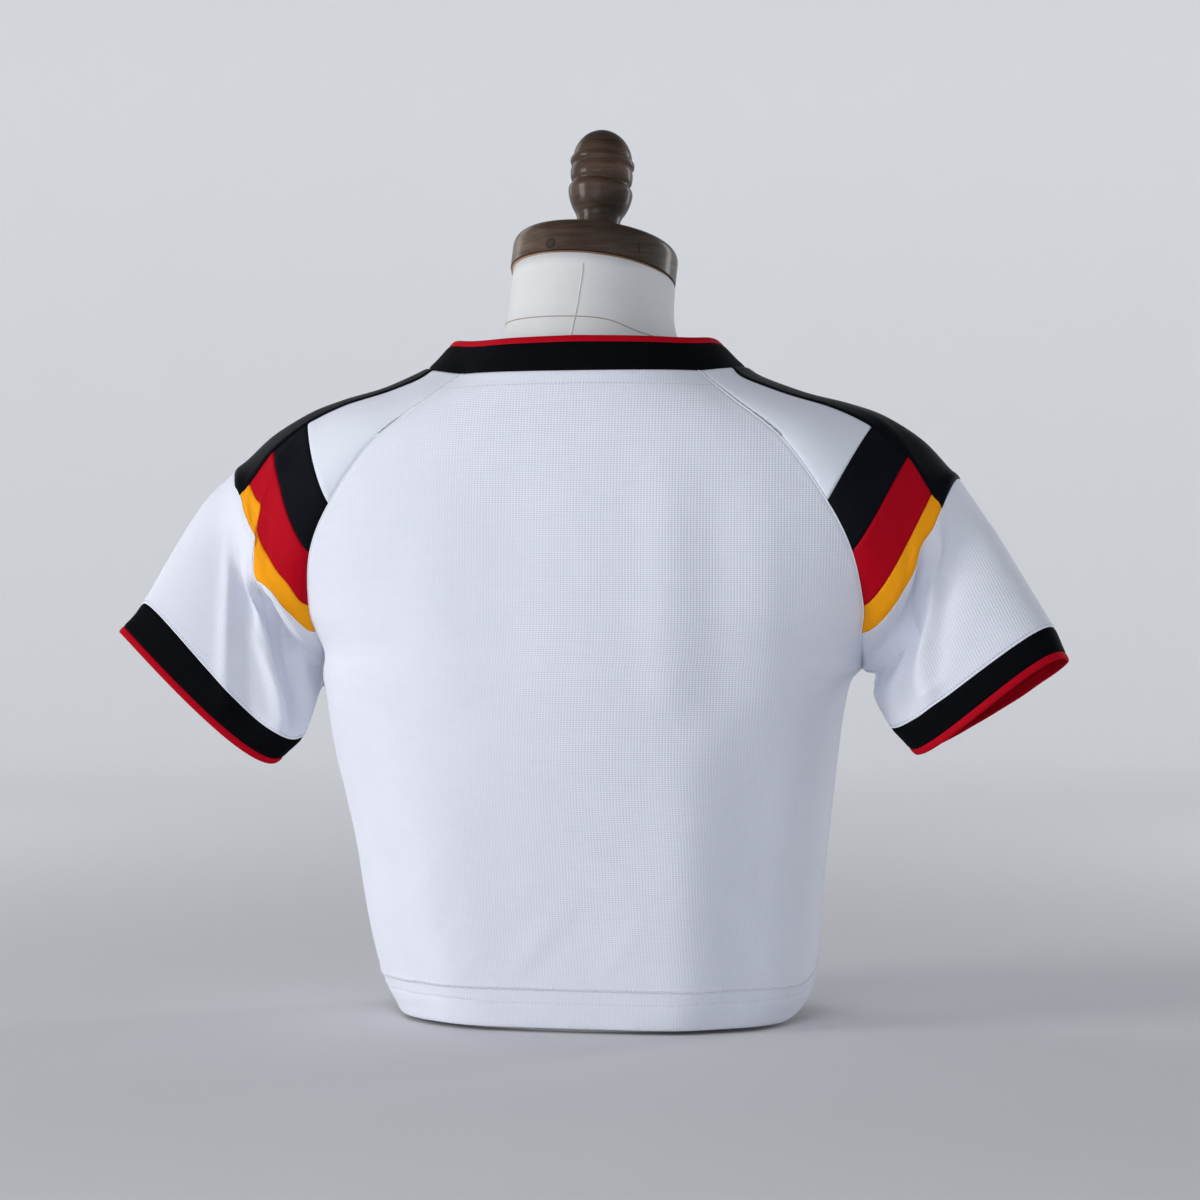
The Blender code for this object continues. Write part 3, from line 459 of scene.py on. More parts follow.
def section_row(side, t):
    """Points of one station from the back seam over the ridge to the front seam."""
    row = []
    for front in (False, True):
        pts, run = section(side, t, front)
        reach = blend(STRIP, min(t, 6.0), 2 if front else 1)
        places = [reach * k / COLS_STRIP for k in range(COLS_STRIP + 1)]
        rest = COLS_SLEEVE - COLS_STRIP
        places += [reach + (run[-1] - reach) * k / rest for k in range(1, rest + 1)]
        places.insert(-1, run[-1] - 1.2)
        half = [along(pts, run, d) for d in places]
        row = row + half[1:] if front else half[::-1]
    return row


def fold_lift(folds, key, t, u, total):
    """Height of a table's straight folds at a station and place of one sleeve."""
    lift = 0.0
    for who, t0, u0, t1, u1, width, height in folds:
        if who == key:
            s = min(1.0, max(0.0, (t - t0) / (t1 - t0)))
            over = max(0.0, t0 - t, t - t1) * 30
            lift += height * bell((u - u0 - (u1 - u0) * s) * total, width) * bell(over, 14)
    return lift


def line_lift(path, t, u, total):
    """Height of one drawn line of relief at a station and place."""
    near, lift = 1e9, 0.0
    for a, b in zip(path, path[1:]):
        s, off, left = nearest(u * total, t * STATION, (a[1] * total, a[0] * STATION),
                               (b[1] * total, b[0] * STATION))
        if off < near:
            near = off
            k = 2 if left else 3
            width = a[k] + (b[k] - a[k]) * s
            lift = (a[4] + (b[4] - a[4]) * s) * math.exp(-off / (width * width))
    return lift


def lines_lift(key, t, u, total):
    lift = 0.0
    for who, path in SLEEVE_LINES:
        stations, places = [p[0] for p in path], [p[1] for p in path]
        if who == key and min(stations) - 0.7 < t < max(stations) + 0.7 \
                and min(places) - 0.08 < u < max(places) + 0.08:
            lift += line_lift(path, t, u, total)
    return lift


def sleeve_row(side, t):
    """Station row with its folds pushed out or in."""
    row, near, out = section_row(side, t), section_row(side, t - 0.1), []
    run, key = running(row), "r" if side > 0 else "l"
    total = run[-1]
    for j, p in enumerate(row):
        u = run[j] / total
        lift = fold_lift(SLEEVE_CREASES, key, t, u, total)
        if t >= 5:
            lift += fold_lift(SLEEVE_FOLDS, key, t, u, total)
        if t > 4:
            lift += lines_lift(key, t, u, total)
        edge = min(1.0, min(u, 1 - u) * total / 18)
        lift *= edge if t < 7 else 0.35 + 0.65 * edge
        a = row[j + 1] if j + 1 < len(row) else row[1]
        b = row[j - 1] if j else row[-2]
        normal = (a - b).cross(p - near[j])
        if normal.length > 1e-6:
            p = p - normal.normalized() * side * lift
        out.append(p)
    if t >= 7:
        out[-1] = out[0]
    return out


sleeve_cache = {}


def sleeve(side, t):
    k = (side, round(t, 6))
    if k not in sleeve_cache:
        sleeve_cache[k] = sleeve_row(side, t)
    return sleeve_cache[k]


# ---------------------------------------------------------------- grids
def steps(t0, t1):
    """Stations from t0 to t1 with an extra one close to both ends."""
    n = max(1, round((t1 - t0) * ROWS_STATION))
    even = [t0 + (t1 - t0) * k / n for k in range(n + 1)]
    return [even[0], t0 + EDGE_STEP] + even[1:-1] + [t1 - EDGE_STEP, even[-1]]


def low_shares():
    """Rows of the lower torso as shares of its height, closer together at the hem."""
    height = ARMPIT_Z - HEM_BACK
    top, second = HEM_TURN, HEM_TURN - HEM_CHANNEL
    marks = [0, 0.5, 1.2, 2.4, 5, 8, 11, 14]
    marks += [line + d for line in (second, top) for d in (-1.8, -1.1, -0.5, 0, 0.5, 1.1, 1.8)]
    marks += [second + 3, second + 4.5, second + 6, top + 3.2]
    marks += [top + 5 + (height - top - 5) * k / ROWS_LOW for k in range(ROWS_LOW + 1)]
    return [m / height for m in sorted(marks)]


STEPS = [t for _, t0, t1 in SPLITS for t in steps(t0, t1)]
COLUMNS = [k / COLS_TORSO for k in range(COLS_TORSO)] + [1 - 0.008, 1.0]
COLUMNS = [-u for u in reversed(COLUMNS[1:])] + COLUMNS
LOW = low_shares()


def torso_rows(front):
    """Rows of the back or the front panel from the hem to the collar."""
    high = sorted({round(t, 6) for t in STEPS if t < 7}, reverse=True)
    return [low_row(front, share) for share in LOW] + [high_row(t, front) for t in high]


def grid_uv(rows, middle):
    """Flat coordinates in millimetres: along each row from its middle column, and down the middle."""
    result = []
    for row, v in zip(rows, running([row[middle] for row in rows])):
        run = running(row)
        result.append([(d - run[middle], v) for d in run])
    return result


def grid_faces(rows, uvs, flip=False):
    """Quads of a grid of points with their flat coordinates, turned to face out of the garment."""
    faces = []
    for i in range(len(rows) - 1):
        for j in range(len(rows[i]) - 1):
            corners = [(i, j), (i, j + 1), (i + 1, j + 1), (i + 1, j)]
            faces.append([(rows[a][b], uvs[a][b]) for a, b in corners[::-1 if flip else 1]])
    return faces


def key_of(p):
    return (round(p.x, 3), round(p.y, 3), round(p.z, 3))


def point_normals(groups):
    """Mean normal at every point of the given sets of quads."""
    total = {}
    for q in (q for faces in groups for q in faces):
        n = (q[2][0] - q[0][0]).cross(q[3][0] - q[1][0])
        for p, _ in q:
            total[key_of(p)] = total.get(key_of(p), Vector()) + n
    return {k: n.normalized() for k, n in total.items()}


def wall_normals(family, shared):
    """Normals shared across flat seams, and the family's own ones at a sharp crease such as the armpit."""
    result = {}
    for k, own in point_normals(family).items():
        result[k] = own.lerp(shared[k], ease(0.6, 0.9, own.dot(shared[k]))).normalized()
    return result


# ---------------------------------------------------------------- relief of the cloth
def edge_relief(d):
    """A sewn edge dips into its seam and the cloth beside it stands slightly proud."""
    return -0.34 * (1 - ease(0.0, 1.4, d)) + 0.22 * ease(0.8, 2.4, d) * (1 - ease(3.0, 8.0, d))


def hem_relief(h):
    """Turned-up hem: full at its edge, drawn in at both rows of stitches."""
    second, top = HEM_TURN - HEM_CHANNEL, HEM_TURN
    lift = 0.55 * (1 - ease(top - 0.6, top + 1.6, h)) - 0.45 * bell(h - second, 1.1)
    lift -= 0.3 * ease(second, second + 2, h) * (1 - ease(top - 2.5, top - 0.5, h))
    return lift - 0.14 * bell(h - top - 1.4, 1.2)


def hem_of(p):
    """Height of a torso point above the hem edge."""
    return p.z - hem_height(p.y)


def back_slack(p):
    """Slack between the shoulder blades, running on from the folds below, and slanting creases."""
    lift = sum(height * bell(p.x - mid, width) for mid, width, height in BACK_SLACK)
    fine = 0.0
    for x0, z0, x1, z1, width, height in BACK_LINES:
        s, off, _ = nearest(p.x, p.z, (x0, z0), (x1, z1))
        fine += height * math.sin(math.pi * (0.1 + 0.8 * s)) * math.exp(-off / width ** 2)
    high = 448 - 0.35 * abs(p.x)
    ends = ease(205, 245, p.z) * (1 - ease(high - 90, high, p.z)) * (1 - ease(150, 180, abs(p.x)))
    return fine + lift * ends


def cloth_relief(name, p):
    if name not in PANELS:
        return 0.0
    return hem_relief(hem_of(p)) + (back_slack(p) if name == "back" else 0.0)


def cloth_thick(name, p):
    if name in PANELS:
        return DOUBLE if hem_of(p) < HEM_TURN + 1 else CLOTH
    return {"cuff": DOUBLE, "collar": DOUBLE, "shoulder": BAND_LAYER}.get(kind_of(name), CLOTH)


# ---------------------------------------------------------------- materials
class Value:
    """Output of a shader node; its sums, products and powers are new nodes."""

    def __init__(self, nodes, socket):
        self.nodes, self.socket = nodes, socket

    def __add__(self, other):
        return self.nodes.math("ADD", self, other)

    def __mul__(self, other):
        return self.nodes.math("MULTIPLY", self, other)

    def __pow__(self, other):
        return self.nodes.math("POWER", self, other)


class Nodes:
    """Short way to write a material's node tree."""

    def __init__(self, name, rough=0.5, sheen=0.0, coat=0.0, specular=0.5):
        self.mat = bpy.data.materials.new(name)
        self.mat.use_nodes = True
        self.tree = self.mat.node_tree
        self.feed(Roughness=rough, Sheen_Weight=sheen, Sheen_Roughness=0.4, Coat_Weight=coat,
                  Coat_Roughness=0.16, Specular_IOR_Level=specular)

    def join(self, socket, value):
        """Sets a socket to a number or colour, or links it to another node's value."""
        if isinstance(value, Value):
            self.tree.links.new(value.socket, socket)
        else:
            socket.default_value = value

    def feed(self, **inputs):
        """Sets or links inputs of the shader."""
        for key, value in inputs.items():
            self.join(self.tree.nodes["Principled BSDF"].inputs[key.replace("_", " ")], value)

    def node(self, kind, output=0, numbered=(), **values):
        """New node: a value is one of its settings or goes into the input of that name or number."""
        made = self.tree.nodes.new(kind)
        for key, value in values.items():
            if hasattr(made, key):
                setattr(made, key, value)
            else:
                self.join(made.inputs[key.replace("_", " ")], value)
        for number, value in numbered:
            self.join(made.inputs[number], value)
        return Value(self, made.outputs[output])

    def math(self, operation, *values):
        return self.node("ShaderNodeMath", 0, enumerate(values), operation=operation)

    def place(self, scale=(1, 1, 1)):
        at = self.node("ShaderNodeTexCoord", "Object")
        return self.node("ShaderNodeMapping", Vector=at, Scale=scale)

    def noise(self, scale, detail, vector=None):
        at = vector or self.place()
        return self.node("ShaderNodeTexNoise", "Fac", Scale=scale, Detail=detail, Vector=at)

    def flat(self):
        """The two flat coordinates of the cloth in metres."""
        uv = self.node("ShaderNodeUVMap", uv_map="weave")
        return [self.node("ShaderNodeSeparateXYZ", axis, Vector=uv) for axis in "XY"]

    def wave(self, coordinate, pitch):
        """Even wave from 0 to 1 with a pitch in metres."""
        return self.math("SINE", coordinate * (2 * math.pi / pitch)) * 0.5 + 0.5

    def fade(self, spot, squash, near, far, **ends):
        """Smooth change between two distances from a spot, with heights squashed."""
        spot = (spot[0], spot[1], spot[2] * squash)
        away = self.node("ShaderNodeVectorMath", "Value", ((0, self.place((1, 1, squash))), (1, spot)),
                         operation="DISTANCE")
        return self.node("ShaderNodeMapRange", interpolation_type="SMOOTHSTEP", Value=away,
                         From_Min=near, From_Max=far, **ends)

    def bump(self, height, distance, strength=1.0):
        self.feed(Normal=self.node("ShaderNodeBump", Strength=strength, Distance=distance, Height=height))

    def colour(self, share, first, second):
        """The material, with its colour running from the first to the second."""
        ends = ((0, share), (6, (*first, 1)), (7, (*second, 1)))
        self.feed(Base_Color=self.node("ShaderNodeMix", 2, ends, data_type="RGBA"))
        return self.mat


def knit(name, light, dark, rough, pitch, depth, sheen=0.25, specular=0.35):
    """Knit with wales down the cloth and finer courses across, small dents where they meet; the dents are
    painted darker as shade.
    """
    n = Nodes(name, rough, sheen=sheen, specular=specular)
    across, down = n.flat()
    wales, courses = n.wave(across, pitch), n.wave(down, pitch * 0.62)
    ribs = wales * 0.36 + wales * courses * 0.38 + courses * 0.26
    n.bump(n.math("SUBTRACT", 1.0, ribs), depth)
    # the colour darkens with the knit's dents: painted shade in its hollows, with random tone from the noise
    return n.colour(ribs * 0.5 + n.noise(38.0, 2.0) * 0.35, light, dark)


def satin(name, light, dark):
    """Smooth dark knit with a soft shine and faint wales; its colour is lighter where it is glossier, a
    painted sheen.
    """
    n = Nodes(name, specular=0.012)
    sheen_clouds = n.noise(24.0, 2.0)
    n.bump(n.wave(n.flat()[0], 0.0011) * 0.4 + sheen_clouds, 0.00015)
    n.feed(Roughness=sheen_clouds * 0.2 + 0.28)
    # the colour is lighter where the clouds make the satin glossier: painted sheen on the black
    return n.colour(sheen_clouds * 0.9, light, dark)


def linen(name, light, dark):
    """Plain weave with slubs."""
    n = Nodes(name, 0.85, sheen=0.2, specular=0.25)
    warp, weft = (n.wave(way, 0.0008) for way in n.flat())
    slubs, woven = n.noise(55.0, 4.0), (warp + weft) * 0.5
    n.bump(woven * 0.5 + slubs, 0.00018)
    return n.colour(woven * 0.25 + slubs * 0.55, light, dark)


def wood(name, light, dark, stretch, edge=0.0, marks=()):
    """Dark glazed turned wood: fine long grain with warmer worn places, and a clear glossy coat."""
    n = Nodes(name, coat=0.28, specular=0.10)
    long, spots = n.place(stretch), n.noise(14.0, 3.0)
    grain = n.noise(42.0, 7.0, long) * 0.6 + n.noise(160.0, 4.0, long) * 0.4
    share = ((grain + spots) * 0.78) ** 4.2
    for squash, spot, radius, soft, depth in marks:
        share = share * n.fade(spot, squash, radius - soft, radius + soft, To_Min=1 - depth)
    n.bump(grain, 0.0006, 0.8)
    n.feed(Roughness=spots * 0.3 + 0.3)
    return n.colour(share + edge, dark, light)


def thread(name, colour):
    n = Nodes(name, 0.6, sheen=0.2, specular=0.3)
    fibre = n.noise(900.0, 2.0)
    n.bump(fibre, 0.0002)
    return n.colour(fibre, colour, [c * 0.8 for c in colour])


# colour on the wales and, darker, the painted shade between them, roughness, pitch and depth of the wales in
# metres, sheen, specular
KNITS = {
    "white": ((0.80, 0.82, 0.91), (0.69, 0.72, 0.82), 0.78, 0.0021, 0.00018),
    "white_fine": ((0.78, 0.81, 0.89), (0.70, 0.74, 0.83), 0.72, 0.0013, 0.0001),
    # the turned seam edges are lighter than the cloth they belong to: a painted highlight
    "white_lip_painted_highlight": ((0.90, 0.92, 0.97), (0.82, 0.85, 0.92), 0.6, 0.0013, 0.00005),
    "black": ((0.0062, 0.0074, 0.0108), (0.003, 0.0033, 0.005), 0.7, 0.0014, 0.00012, 0.0, 0.04),
    "black_rib": ((0.0036, 0.0042, 0.006), (0.0018, 0.002, 0.003), 0.7, 0.0014, 0.00012, 0.0, 0.03),
    "red": ((0.49, 0.002, 0.014), (0.37, 0.001, 0.008), 0.66, 0.0015, 0.00012, 0.0, 0.05),
    "gold": ((0.98, 0.40, 0.010), (0.84, 0.30, 0.006), 0.66, 0.0015, 0.00012, 0.0, 0.05),
}
FABRIC = {name: knit("cloth_" + name, *values) for name, values in KNITS.items()}
# the satin's lighter colour is a painted sheen, its darker one the black cloth
FABRIC["satin"] = satin("cloth_satin", (0.0065, 0.008, 0.0115), (0.003, 0.0035, 0.005))
FABRIC["linen"] = linen("form_linen", (0.72, 0.73, 0.73), (0.60, 0.61, 0.62))
THREADS = {
    "white": (0.86, 0.88, 0.94), "grey": (0.56, 0.58, 0.66),
    "cream": (0.80, 0.77, 0.68), "tan": (0.40, 0.33, 0.27),
}
THREAD = {name: thread("thread_" + name, colour) for name, colour in THREADS.items()}
# a round plug and a short crack in the cap: squash of its height, place, radius, softness, depth (metres)
PLUG, CRACK = (-0.0242, -0.0445, 0.545), (0.0368, -0.0331, 0.5435)
CAP_MARKS = [(1.0, PLUG, 0.0040, 0.0007, 0.75), (1.0, PLUG, 0.0022, 0.0008, -1.2),
             (0.07, CRACK, 0.0005, 0.0004, 0.95)]
WOOD_CAP = wood("form_wood", (0.15, 0.092, 0.058), (0.009, 0.0065, 0.0055), (0.3, 0.3, 3.4), marks=CAP_MARKS)
WOOD_KNOB = wood("form_wood_knob", (0.105, 0.063, 0.040), (0.005, 0.004, 0.0035), (0.4, 0.4, 3.0))
WOOD_EDGE = wood("form_wood_edge", (0.34, 0.20, 0.11), (0.12, 0.066, 0.036), (0.6, 0.6, 3.0), 0.3)

# cloth: material slot, materials outside and inside, then its cut as width, length and area in metres
CLOTHS = {
    "back": ("cloth_white", ["white"], 0.41, 0.46, 0.152),
    "front": ("cloth_white", ["white"], 0.43, 0.43, 0.152),
    "sleeve_top": ("cloth_white", ["white_fine"], 0.20, 0.12, 0.0175),
    "band_black": ("cloth_black", ["black"], 0.27, 0.045, 0.0093),
    "band_red": ("cloth_red", ["red"], 0.30, 0.045, 0.0110),
    "band_gold": ("cloth_gold", ["gold"], 0.31, 0.020, 0.0052),
    "sleeve_low": ("cloth_white", ["white"], 0.36, 0.16, 0.0420),
    "cuff": ("cloth_black", ["black_rib", "red"], 0.33, 0.022, 0.0070),
    "shoulder": ("cloth_black", ["satin"], 0.078, 0.185, 0.0130),
    "collar": ("cloth_black", ["black_rib"], 0.47, 0.022, 0.0098),
}


# ---------------------------------------------------------------- meshes
def link(name, verts, faces, mats, uvs=()):
    """Smooth mesh of table points; uvs are the flat coordinates of its face corners, in millimetres."""
    mesh = bpy.data.meshes.new(name)
    mesh.from_pydata([(p.x * MM, p.y * MM, (p.z - BASE) * MM) for p in verts], [], faces)
    for mat in mats:
        mesh.materials.append(mat)
    mesh.update()
    mesh.polygons.foreach_set("use_smooth", [True] * len(mesh.polygons))
    if uvs:
        flat = [c * MM for uv in uvs for c in uv]
        flat += [0.0] * (2 * len(mesh.loops) - len(flat))
        mesh.uv_layers.new(name="weave").data.foreach_set("uv", flat)
    obj = bpy.data.objects.new(name, mesh)
    bpy.context.scene.collection.objects.link(obj)
    return obj


def sweep(name, rows, mat, uv=None, closed=False, caps=0):
    """Skin over rings of points; caps closes the first ring, or with 2 also the last, with a flat face."""
    count, rounds = len(rows[0]), len(rows)
    faces, uvs = [], []
    for r in range(rounds if closed else rounds - 1):
        for j in range(count):
            corners = ((r, j), (r, j + 1), (r + 1, j + 1), (r + 1, j))
            faces.append([a % rounds * count + b % count for a, b in corners])
            uvs += [uv(a, b) for a, b in corners] if uv else []
    sides, last = len(faces), (rounds - 1) * count
    faces += [list(range(count))[::-1], list(range(last, last + count))][:caps]
    obj = link(name, [p for row in rows for p in row], faces, [mat], uvs)
    for poly in obj.data.polygons[sides:]:
        poly.use_smooth = False
    return obj


def solid(name, rows, mat):
    """Closed solid of stacked rings."""
    down, around = running([row[0] for row in rows]), [running(row + row[:1]) for row in rows]
    return sweep(name, rows, mat, lambda r, j: (around[r][j], down[r]), caps=2)


def cord(name, line, centres, normals, radius, mat, closed=False):
    """Thin round cord along a line."""
    rows, count = [], len(line)
    for k, (centre, n) in enumerate(zip(centres, normals)):
        a = line[k - 1] if k or closed else line[k]
        b = line[(k + 1) % count] if k + 1 < count or closed else line[k]
        across = n.cross(b - a).normalized()
        rows.append(circle(centre, across * radius, n * radius, CORD_SIDES))
    return sweep(name, rows, mat, lambda k, i: (i % CORD_SIDES * radius, k % count * 2.0), closed,
                 0 if closed else 2)


def search_tree(obj):
    """Search tree over the faces of an object, in table millimetres."""
    verts = [Vector((v.co.x / MM, v.co.y / MM, v.co.z / MM + BASE)) for v in obj.data.vertices]
    return BVHTree.FromPolygons(verts, [list(p.vertices) for p in obj.data.polygons])


def shell(name, faces, normals, lift):
    """Closed thin shell of cloth on a set of quads."""
    index, pts, quads, flats = {}, [], [], []
    for q in faces:
        corners = {}
        for p, uv in q:
            k = key_of(p)
            if k not in index:
                index[k] = len(pts)
                pts.append(p)
            corners.setdefault(index[k], uv)
        if len(corners) > 2:
            quads.append(list(corners))
            flats.append(list(corners.values()))
    edges = {(a, b) for q in quads for a, b in zip(q, q[1:] + q[:1])}
    border = sorted(e for e in edges if (e[1], e[0]) not in edges)
    norm = [normals[key_of(p)] for p in pts]
    shift = [Vector() for _ in pts]
    tree = KDTree(len(border))
    for a, b in border:
        inward = (norm[a] + norm[b]).cross(pts[b] - pts[a]).normalized()
        shift[a] += inward
        shift[b] += inward
        tree.insert(pts[a], a)
    tree.balance()
    outer, inner = [], []
    for p, n, s in zip(pts, norm, shift):
        s = s.normalized() * (SEAM / 2)
        wave = cloth_relief(name, p)
        outer.append(p + n * (lift + wave + edge_relief(tree.find(p)[2])) + s)
        inner.append(p + n * (lift + min(wave, 0.0) - cloth_thick(name, p)) + s)
    m = len(pts)
    rim = [[b, a, a + m, b + m] for a, b in border]
    at = {}
    for i, uv in ((i, uv) for q, flat in zip(quads, flats) for i, uv in zip(q, flat)):
        at.setdefault(i, uv)
    uvs = [uv for flat in flats + [flat[::-1] for flat in flats] for uv in flat]
    uvs += [at[i % m] for quad in rim for i in quad]
    mats = [FABRIC[kind] for kind in CLOTHS[kind_of(name)][1]]
    lining = [[i + m for i in q[::-1]] for q in quads]
    obj = link(name + "_cloth", outer + inner, quads + lining + rim, mats, uvs)
    if len(mats) > 1:
        for poly in obj.data.polygons[len(quads):]:
            poly.material_index = 1
    return obj


def wear(obj, solid_name=None):
    """The object belongs to the one still body, and may show in place of a solid."""
    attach(obj, "root")
    if solid_name:
        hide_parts(solid_name)
    return obj


# ---------------------------------------------------------------- cloth pieces
def kind_of(name):
    """Name of a piece without its side."""
    return name[:-2] if name[-2:] in ("_r", "_l") else name


def family_of(name):
    """Torso, one sleeve or the collar."""
    return "torso" if name in PANELS else name if name == "collar" else name[-1]


def stray(tag, t, u):
    """Shift of a station near the gold band's two seams."""
    above, below = (blend(SEAM_STRAY[tag, seam], min(u, 1 - u), 1) for seam in (5, 6))
    if t < 5:
        return above * ease(4, 5, t)
    if t < 6:
        return above + (below - above) * (t - 5)
    return below * (1 - ease(6, 7.2, t))


def strayed(side, tag):
    """Rows of the sleeve with the seams led along their stray paths on the same surface."""
    rows, result = [sleeve(side, t) for t in STEPS], []
    for t, row in zip(STEPS, rows):
        run, line = running(row), []
        for j, p in enumerate(row):
            u = run[j] / run[-1]
            shift = stray(tag, t, u) if 4 < t < 7.2 and u < 0.5 else 0.0
            if abs(shift) > 1e-4:
                at = t + shift
                k = min(max(bisect.bisect_right(STEPS, at) - 1, 0), len(STEPS) - 2)
                while STEPS[k + 1] - STEPS[k] < 1e-6:
                    k -= 1
                p = rows[k][j].lerp(rows[k + 1][j], (at - STEPS[k]) / (STEPS[k + 1] - STEPS[k]))
            line.append(p)
        result.append(line)
    return result


def collar_row(ring, reach):
    """Ring moved up the collar by its width."""
    row, loop = [], ring + ring[:1]
    run = running(loop)
    for k, p in enumerate(ring):
        beside = {d: along(loop, run, (run[k] + d) % run[-1]) for d in NECK_LOOK + NECK_SOFT}
        ways = [(beside[d] - beside[-d]).normalized() for d in NECK_LOOK if d > 0]
        tangent = sum(ways, Vector()).normalized()
        inward = Vector((0, 0, 1)).cross(tangent).normalized()
        up = inward.cross(tangent) * -1
        turn = 1 + math.atan2(p.y + 10, abs(p.x) * 0.6) / (math.pi / 2)
        lean = math.radians(blend(COLLAR_LEAN, turn, 1))
        bow = 1.2 * math.sin(math.pi * min(1.0, reach / (COLLAR_W + TIP_W)))
        soft = sum((beside[d] for d in NECK_SOFT), Vector()) / len(NECK_SOFT)
        p = p.lerp(soft, 0.85 * ease(0, 12, reach))
        step = inward * math.sin(lean) + up * math.cos(lean)
        out = inward * -math.cos(lean) + up * math.sin(lean)
        row.append(p + step * reach + out * bow)
    return row + row[:1]


back_rows, front_rows = torso_rows(False), torso_rows(True)
MIDDLE_COL, RIDGE_COL = len(COLUMNS) // 2, COLS_SLEEVE + 1
pieces = {
    "back": grid_faces(back_rows, grid_uv(back_rows, MIDDLE_COL)),
    "front": grid_faces(front_rows, grid_uv(front_rows, MIDDLE_COL), True),
}
strips, strayed_rows = {}, {}
for side, tag in SIDES:
    whole = strayed(side, tag)
    strayed_rows[tag] = {round(t, 6): row for t, row in zip(STEPS, whole)}
    flat = grid_uv(whole, RIDGE_COL)
    first = 0
    for name, t0, t1 in SPLITS:
        last = first + len(steps(t0, t1))
        pieces[name + "_" + tag] = grid_faces(whole[first:last], flat[first:last], side > 0)
        first = last
    rows = [row[RIDGE_COL - COLS_STRIP:RIDGE_COL + COLS_STRIP + 1]
            for t, row in sorted(strayed_rows[tag].items()) if t <= 6]
    strips["shoulder_" + tag] = grid_faces(rows, grid_uv(rows, COLS_STRIP), side > 0)

# seam line of the collar: back, right side, front, left side
neck_ring = back_rows[-1] + sleeve(1, 0)[1:] + front_rows[-1][::-1][1:] + sleeve(-1, 0)[::-1][1:-1]
collar_rows = [collar_row(neck_ring, reach) for reach in COLLAR_STEPS]
pieces["collar"] = grid_faces(collar_rows, grid_uv(collar_rows, 0))

shared = point_normals(pieces.values())
own = {}
for family in ("torso", "r", "l", "collar"):
    own[family] = wall_normals([q for name, q in pieces.items() if family_of(name) == family], shared)
shells = {}
for name, faces in (pieces | strips).items():
    shells[name] = shell(name, faces, own[family_of(name)], BAND_LIFT if name in strips else 0.0)


def normals_at(family, line):
    return [own[family][key_of(p)] for p in line]


# ---------------------------------------------------------------- tubular edges
def edge_tube(name, ring, before, normals, flip):
    """Red tubular edge standing on a piece's last row; before is the row in front of it."""
    at, rows = [], []
    for k, p in enumerate(ring):
        near = [j % len(ring) for j in range(k - 4, k + 5)]
        n = sum((normals[j] for j in near), Vector()).normalized()
        step = sum(((ring[j] - before[j]).normalized() for j in near), Vector())
        at.append((p, n, (step - n * step.dot(n)).normalized()))
    for a in (2 * math.pi * s / TIP_SIDES for s in range(TIP_SIDES)):
        ahead = TIP_GAP + (TIP_W - TIP_GAP) / 2 * (1 + power(math.cos(a), 0.75))
        out = DOUBLE / 2 * (power(math.sin(a), 0.75) - 0.5)
        rows.append([p + step * ahead + n * out for p, n, step in at])
    rows = rows[::-1] if flip else rows
    run = running(rows[0] + rows[0][:1])
    obj = sweep(name + "_edge", rows, FABRIC["red"], lambda r, j: (run[j], r * 0.8), closed=True)
    return wear(obj, name)


top, under = collar_rows[-1][:-1], collar_rows[-4][:-1]
tips = {"collar": edge_tube("collar_tip", top, under, normals_at("collar", top), True)}
for side, tag in SIDES:
    edge, before = sleeve(side, 10)[:-1], sleeve(side, 9.5)[:-1]
    tips["cuff_" + tag] = edge_tube("cuff_tip_" + tag, edge, before, normals_at(tag, edge), side < 0)


# ---------------------------------------------------------------- sewing
def stitches(name, line, tree, pitch, length, radius, mat, turn=0.0, zigzag=0.0):
    """Row of thread along a line, set on the cloth; every stitch is a small spindle."""
    sides, profile = 5, ((-0.62, 0.75), (0.0, 1.0), (0.62, 0.75))
    verts, faces = [], []
    run = running(line)
    count = max(1, round(run[-1] / pitch))
    for k in range(count):
        at = (k + 0.5) * run[-1] / count
        p = along(line, run, at)
        ahead = (along(line, run, at + 1.0) - along(line, run, at - 1.0)).normalized()
        hit, normal, _, _ = tree.find_nearest(p)
        if normal.dot(p - hit) < 0:
            normal = -normal
        slant = math.radians(turn + (zigzag if k % 2 else -zigzag))
        way = (ahead * math.cos(slant) + normal.cross(ahead).normalized() * math.sin(slant)).normalized()
        wide = normal.cross(way).normalized() * radius
        half, foot = way * length / 2, hit - normal * radius * 0.4
        first = len(verts)
        verts.append(foot - half)
        for s, r in profile:
            centre = hit + half * s + normal * radius * (0.55 - 0.4 * s * s)
            verts += circle(centre, wide * r, normal * radius * r, sides)
        verts.append(foot + half)
        for i in range(sides):
            j = (i + 1) % sides
            a, b, c = (first + 1 + ring * sides for ring in range(3))
            faces += [[first, a + i, a + j], [a + i, b + i, b + j, a + j], [b + i, c + i, c + j, b + j],
                      [c + i, len(verts) - 1, c + j]]
    return wear(link(name, verts, faces, [THREAD[mat]]))


def lip(name, line, beside, normals, radius, closed=False):
    """Turned edge of the white cloth beside a seam, leaning towards the row beside it; its lighter white is a
    painted highlight along the seam.
    """
    centres = [p + (b - p).normalized() * (radius * 0.6) - n * (radius * 0.2)
               for p, b, n in zip(line, beside, normals)]
    return wear(cord(name, line, centres, normals, radius, FABRIC["white_lip_painted_highlight"], closed))


def outward(points, amount):
    """Points moved out of the torso, so that the nearest face is the outer one."""
    wide, deep = 1 + amount / 160, 1 + amount / 100
    return [Vector((p.x * wide, (p.y - SIDE_Y) * deep + SIDE_Y, p.z)) for p in points]


